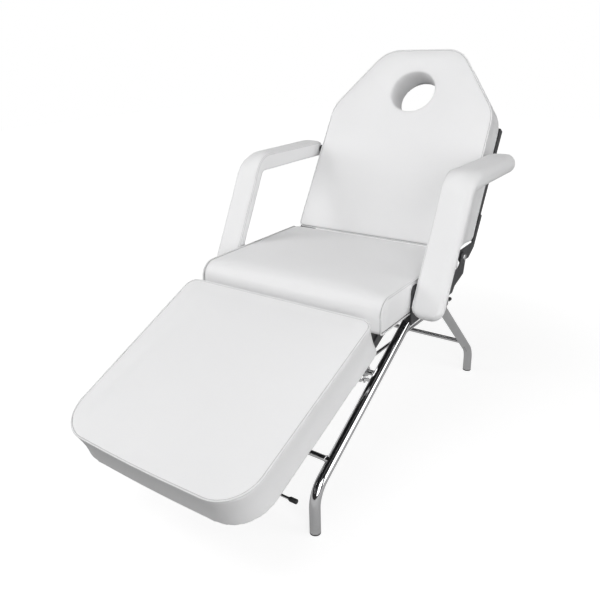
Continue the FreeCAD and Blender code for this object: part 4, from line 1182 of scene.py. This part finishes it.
def hardware(settings):
    """Weld beads round the crossbars, wing bolts under the rod clamps, ribbed grips and the lining's
    staples."""
    beads = []
    inner_face = STAND_HALF_WIDTH - 0.0142
    for name in ("crossbar_front", "crossbar_middle", "crossbar_rear"):
        centre, size = middle_of(name)
        for side_name, sign in SIDES.items():
            place = [sign * inner_face, centre[1], centre[2]]
            beads.append(weld_bead(name + side_name, place, -sign, size[2], settings.bead))
    fittings("crossbar_weld_beads", beads)
    bar, _ = middle_of("crossbar_middle")
    clamp_half, bolt_length = 0.0125, 0.026
    bolts = []
    for name in ("leg_rod", "back_rod"):
        rod, _ = middle_of(name)
        bolts += wing_bolt(name + "_bolt", [rod[0], bar[1], bar[2] - clamp_half], bolt_length)
    fittings("clamp_wing_bolts", bolts)
    lock, _ = middle_of("back_lock_housing")
    knob, _ = middle_of("back_release_grip")
    grip("back_lever_grip", "back_release_grip", (knob[0] - lock[0], 0.0, knob[2] - lock[2]), "back_lever")
    grip("leg_lever_grip", "leg_release_grip", (1.0, 0.0, 0.0), "leg_lever")
    board_staples(settings)


# Stage

def photo_camera():
    """The camera at the photo's viewing angle. Gives the direction in which it looks: yaw turns it about
    the vertical, pitch tips it and roll turns it about that direction."""
    scene = bpy.context.scene
    lens = bpy.data.cameras.new("studio camera")
    lens.lens = 37.93
    lens.sensor_width = 36.0
    yaw, pitch, roll = (math.radians(angle) for angle in (35.7, -22.13, -1.7))
    eye = (1.008, -1.3231 + FRONT_EDGE, 1.188)
    ahead = Vector((-math.sin(yaw) * math.cos(pitch), math.cos(yaw) * math.cos(pitch), math.sin(pitch)))
    right = Vector((math.cos(yaw), math.sin(yaw), 0.0))
    up = right.cross(ahead)
    right_rolled = math.cos(roll) * right + math.sin(roll) * up
    up_rolled = -math.sin(roll) * right + math.cos(roll) * up
    turn = Matrix((right_rolled, up_rolled, -ahead)).transposed()
    camera = bpy.data.objects.new("studio camera", lens)
    camera.matrix_world = Matrix.Translation(eye) @ turn.to_4x4()
    scene.collection.objects.link(camera)
    scene.camera = camera
    scene.view_settings.view_transform = "Standard"
    return ahead


def pale_floor(settings):
    """A wide pale floor. To the camera it also glows, more so away from the chair, so that it has no
    visible end; metal sees a weaker glow, and the light on the chair stays the lamps' own."""
    material, wiring, shader, vector = new_material("Pale floor")
    wiring.fill(shader, {"Base Color": settings.floor, "Roughness": 0.9, "Specular IOR Level": 0.1})
    path = wiring.add("ShaderNodeLightPath").outputs
    in_metal = wiring.maths("MULTIPLY", path["Is Glossy Ray"], 0.20)
    distance = wiring.add("ShaderNodeVectorMath", {0: vector}, operation="LENGTH").outputs["Value"]
    near, far, near_glow = 0.9, 2.6, 0.82
    grown = wiring.mapped(distance, near, far, near_glow, 1.0)
    shown = wiring.maths("MULTIPLY", wiring.seen_directly(path), grown)
    strength = wiring.maths("MAXIMUM", shown, in_metal)
    glow = wiring.add("ShaderNodeEmission", {"Color": WHITE, "Strength": strength}).outputs["Emission"]
    nodes = wiring.tree.nodes
    lit = nodes["Principled BSDF"].outputs["BSDF"]
    both = wiring.add("ShaderNodeAddShader", {0: lit, 1: glow})
    wiring.fill(nodes["Material Output"].inputs, {"Surface": both.outputs["Shader"]})

    reach = 9.0
    mesh = bpy.data.meshes.new("studio_floor")
    mesh.from_pydata([(-reach, -reach, 0.0), (reach, -reach, 0.0), (reach, reach, 0.0), (-reach, reach, 0.0)],
                     [], [(0, 1, 2, 3)])
    mesh.materials.append(material)
    floor = bpy.data.objects.new("studio_floor", mesh)
    bpy.context.scene.collection.objects.link(floor)


def pale_surround(settings, ahead):
    """White to the camera, an even dim light on the chair, and to metal the white backdrop behind the chair
    and the dark room on the camera's side: the dot product of the ray with the camera's direction tells
    which."""
    world = bpy.data.worlds.new("pale surround")
    world.use_nodes = True
    bpy.context.scene.world = world
    wiring = Wiring(world.node_tree)
    path = wiring.add("ShaderNodeLightPath").outputs
    ray = wiring.add("ShaderNodeTexCoord").outputs["Generated"]
    towards = wiring.add("ShaderNodeVectorMath", {0: ray, 1: tuple(ahead)}, operation="DOT_PRODUCT")
    backdrop = wiring.mapped(towards.outputs["Value"], 0.35, 0.80, 0.03, 1.0)
    lit = wiring.add("ShaderNodeMix", {0: path["Is Glossy Ray"], 2: settings.ambient, 3: backdrop}).outputs[0]
    strength = wiring.add("ShaderNodeMix", {0: wiring.seen_directly(path), 2: lit, 3: 1.0}).outputs[0]
    wiring.fill(world.node_tree.nodes["Background"].inputs, {"Strength": strength, "Color": WHITE})


def soft_lamp(name, power, size, place_at, aim=(0.0, 0.0, 0.5)):
    """A rectangular lamp that the camera doesn't see, turned to the aim."""
    light = bpy.data.lights.new(name, "AREA")
    light.shape = "RECTANGLE"
    light.size, light.size_y = size
    light.energy = power
    lamp = bpy.data.objects.new(name, light)
    lamp.location = place_at
    lamp.rotation_mode = "QUATERNION"
    lamp.rotation_quaternion = (Vector(aim) - Vector(place_at)).to_track_quat("-Z", "Y")
    lamp.visible_camera = False
    bpy.context.scene.collection.objects.link(lamp)


def studio(settings):
    """The photo's camera, a pale floor, an even pale surround and soft lamps."""
    ahead = photo_camera()
    pale_floor(settings)
    pale_surround(settings, ahead)
    soft_lamp("overhead lamp", settings.overhead, (1.7, 1.7), (-0.1, -0.35, 2.35), (0.0, -0.1, 0.5))
    soft_lamp("front lamp", settings.front, (2.2, 1.8), (-0.3, -1.6, 3.2))
    soft_lamp("right lamp", settings.right, (1.5, 2.0), (2.1, -1.8, 1.35))
    soft_lamp("left lamp", settings.left, (1.5, 2.0), (-2.4, -1.5, 1.8))
    soft_lamp("side lamp", settings.side, (1.5, 2.0), (2.7, 0.3, 1.2))


# Operators, one for each piece or group of like pieces

class ChairOperator:
    bl_options = {"REGISTER", "UNDO"}


class CHAIR_OT_finishes(ChairOperator, bpy.types.Operator):
    """Make the finishes and give them to the frame's own pieces"""

    bl_idname = "chair.finishes"
    bl_label = "Finishes"

    def execute(self, context):
        upholstery, metal = context.scene.chair_upholstery, context.scene.chair_metal
        MATERIALS["grain"] = grain_group()
        MATERIALS["wear"] = wear_group()
        MATERIALS["upholstery"] = upholstery_material(upholstery)
        MATERIALS["welt"] = welt_material(upholstery)
        MATERIALS["chrome"] = chrome_material(metal)
        MATERIALS["dark_steel"] = coated_material(metal)
        MATERIALS["black_plastic"] = plastic_material()
        MATERIALS["board"] = lining_material(metal)
        slots = {row["node"]: row["material_slot"] for row in frame["record"]["subparts"]}
        for name, node in frame["nodes"].items():
            node.data.materials.clear()
            node.data.materials.append(MATERIALS[slots[name]])
        return {"FINISHED"}


class CHAIR_OT_seat(ChairOperator, bpy.types.Operator):
    """Build the seat's cushion with its welts"""

    bl_idname = "chair.seat"
    bl_label = "Seat cushion"

    def execute(self, context):
        seat_cushion(context.scene.chair_upholstery)
        return {"FINISHED"}


class CHAIR_OT_backrest(ChairOperator, bpy.types.Operator):
    """Build the backrest's cushion with its face hole and welt"""

    bl_idname = "chair.backrest"
    bl_label = "Backrest cushion"

    def execute(self, context):
        back_cushion(context.scene.chair_upholstery)
        return {"FINISHED"}


class CHAIR_OT_leg_rest(ChairOperator, bpy.types.Operator):
    """Build the leg rest's cushion with its welt"""

    bl_idname = "chair.leg_rest"
    bl_label = "Leg rest cushion"

    def execute(self, context):
        leg_cushion(context.scene.chair_upholstery)
        return {"FINISHED"}


class CHAIR_OT_armrests(ChairOperator, bpy.types.Operator):
    """Build both armrest covers with their welts"""

    bl_idname = "chair.armrests"
    bl_label = "Armrest covers"

    def execute(self, context):
        for side_name, sign in SIDES.items():
            armrest(context.scene.chair_upholstery, side_name, sign)
        return {"FINISHED"}


class CHAIR_OT_hardware(ChairOperator, bpy.types.Operator):
    """Build the weld beads, wing bolts, grips and staples"""

    bl_idname = "chair.hardware"
    bl_label = "Hardware"

    def execute(self, context):
        hardware(context.scene.chair_metal)
        return {"FINISHED"}


class CHAIR_OT_studio(ChairOperator, bpy.types.Operator):
    """Set up the floor, the lamps, the surround and the camera"""

    bl_idname = "chair.studio"
    bl_label = "Studio"

    def execute(self, context):
        studio(context.scene.chair_studio)
        return {"FINISHED"}


class CHAIR_PT_panel(bpy.types.Panel):
    """Lists the chair's pieces and their settings"""

    bl_idname = "CHAIR_PT_panel"
    bl_label = "Chair"
    bl_space_type = "VIEW_3D"
    bl_region_type = "UI"
    bl_category = "Chair"

    def draw(self, context):
        layout = self.layout
        for operator in OPERATORS:
            layout.operator(operator.bl_idname)
        for group_name, group in GROUPS.items():
            box = layout.box()
            settings = getattr(context.scene, group_name)
            for key in group.__annotations__:
                box.prop(settings, key)


GROUPS = {
    "chair_upholstery": ChairUpholstery,
    "chair_metal": ChairMetal,
    "chair_studio": ChairStudio,
}
OPERATORS = (CHAIR_OT_studio, CHAIR_OT_finishes, CHAIR_OT_seat, CHAIR_OT_backrest, CHAIR_OT_leg_rest,
             CHAIR_OT_armrests, CHAIR_OT_hardware)


def register():
    for group_name, group in GROUPS.items():
        bpy.utils.register_class(group)
        setattr(bpy.types.Scene, group_name, bpy.props.PointerProperty(type=group))
    for operator in OPERATORS:
        bpy.utils.register_class(operator)
    bpy.utils.register_class(CHAIR_PT_panel)


def unregister():
    bpy.utils.unregister_class(CHAIR_PT_panel)
    for operator in reversed(OPERATORS):
        bpy.utils.unregister_class(operator)
    for group_name, group in GROUPS.items():
        delattr(bpy.types.Scene, group_name)
        bpy.utils.unregister_class(group)


def main():
    register()
    for operator in OPERATORS:
        section, name = operator.bl_idname.split(".")
        getattr(getattr(bpy.ops, section), name)()


if __name__ == "__main__":
    main()
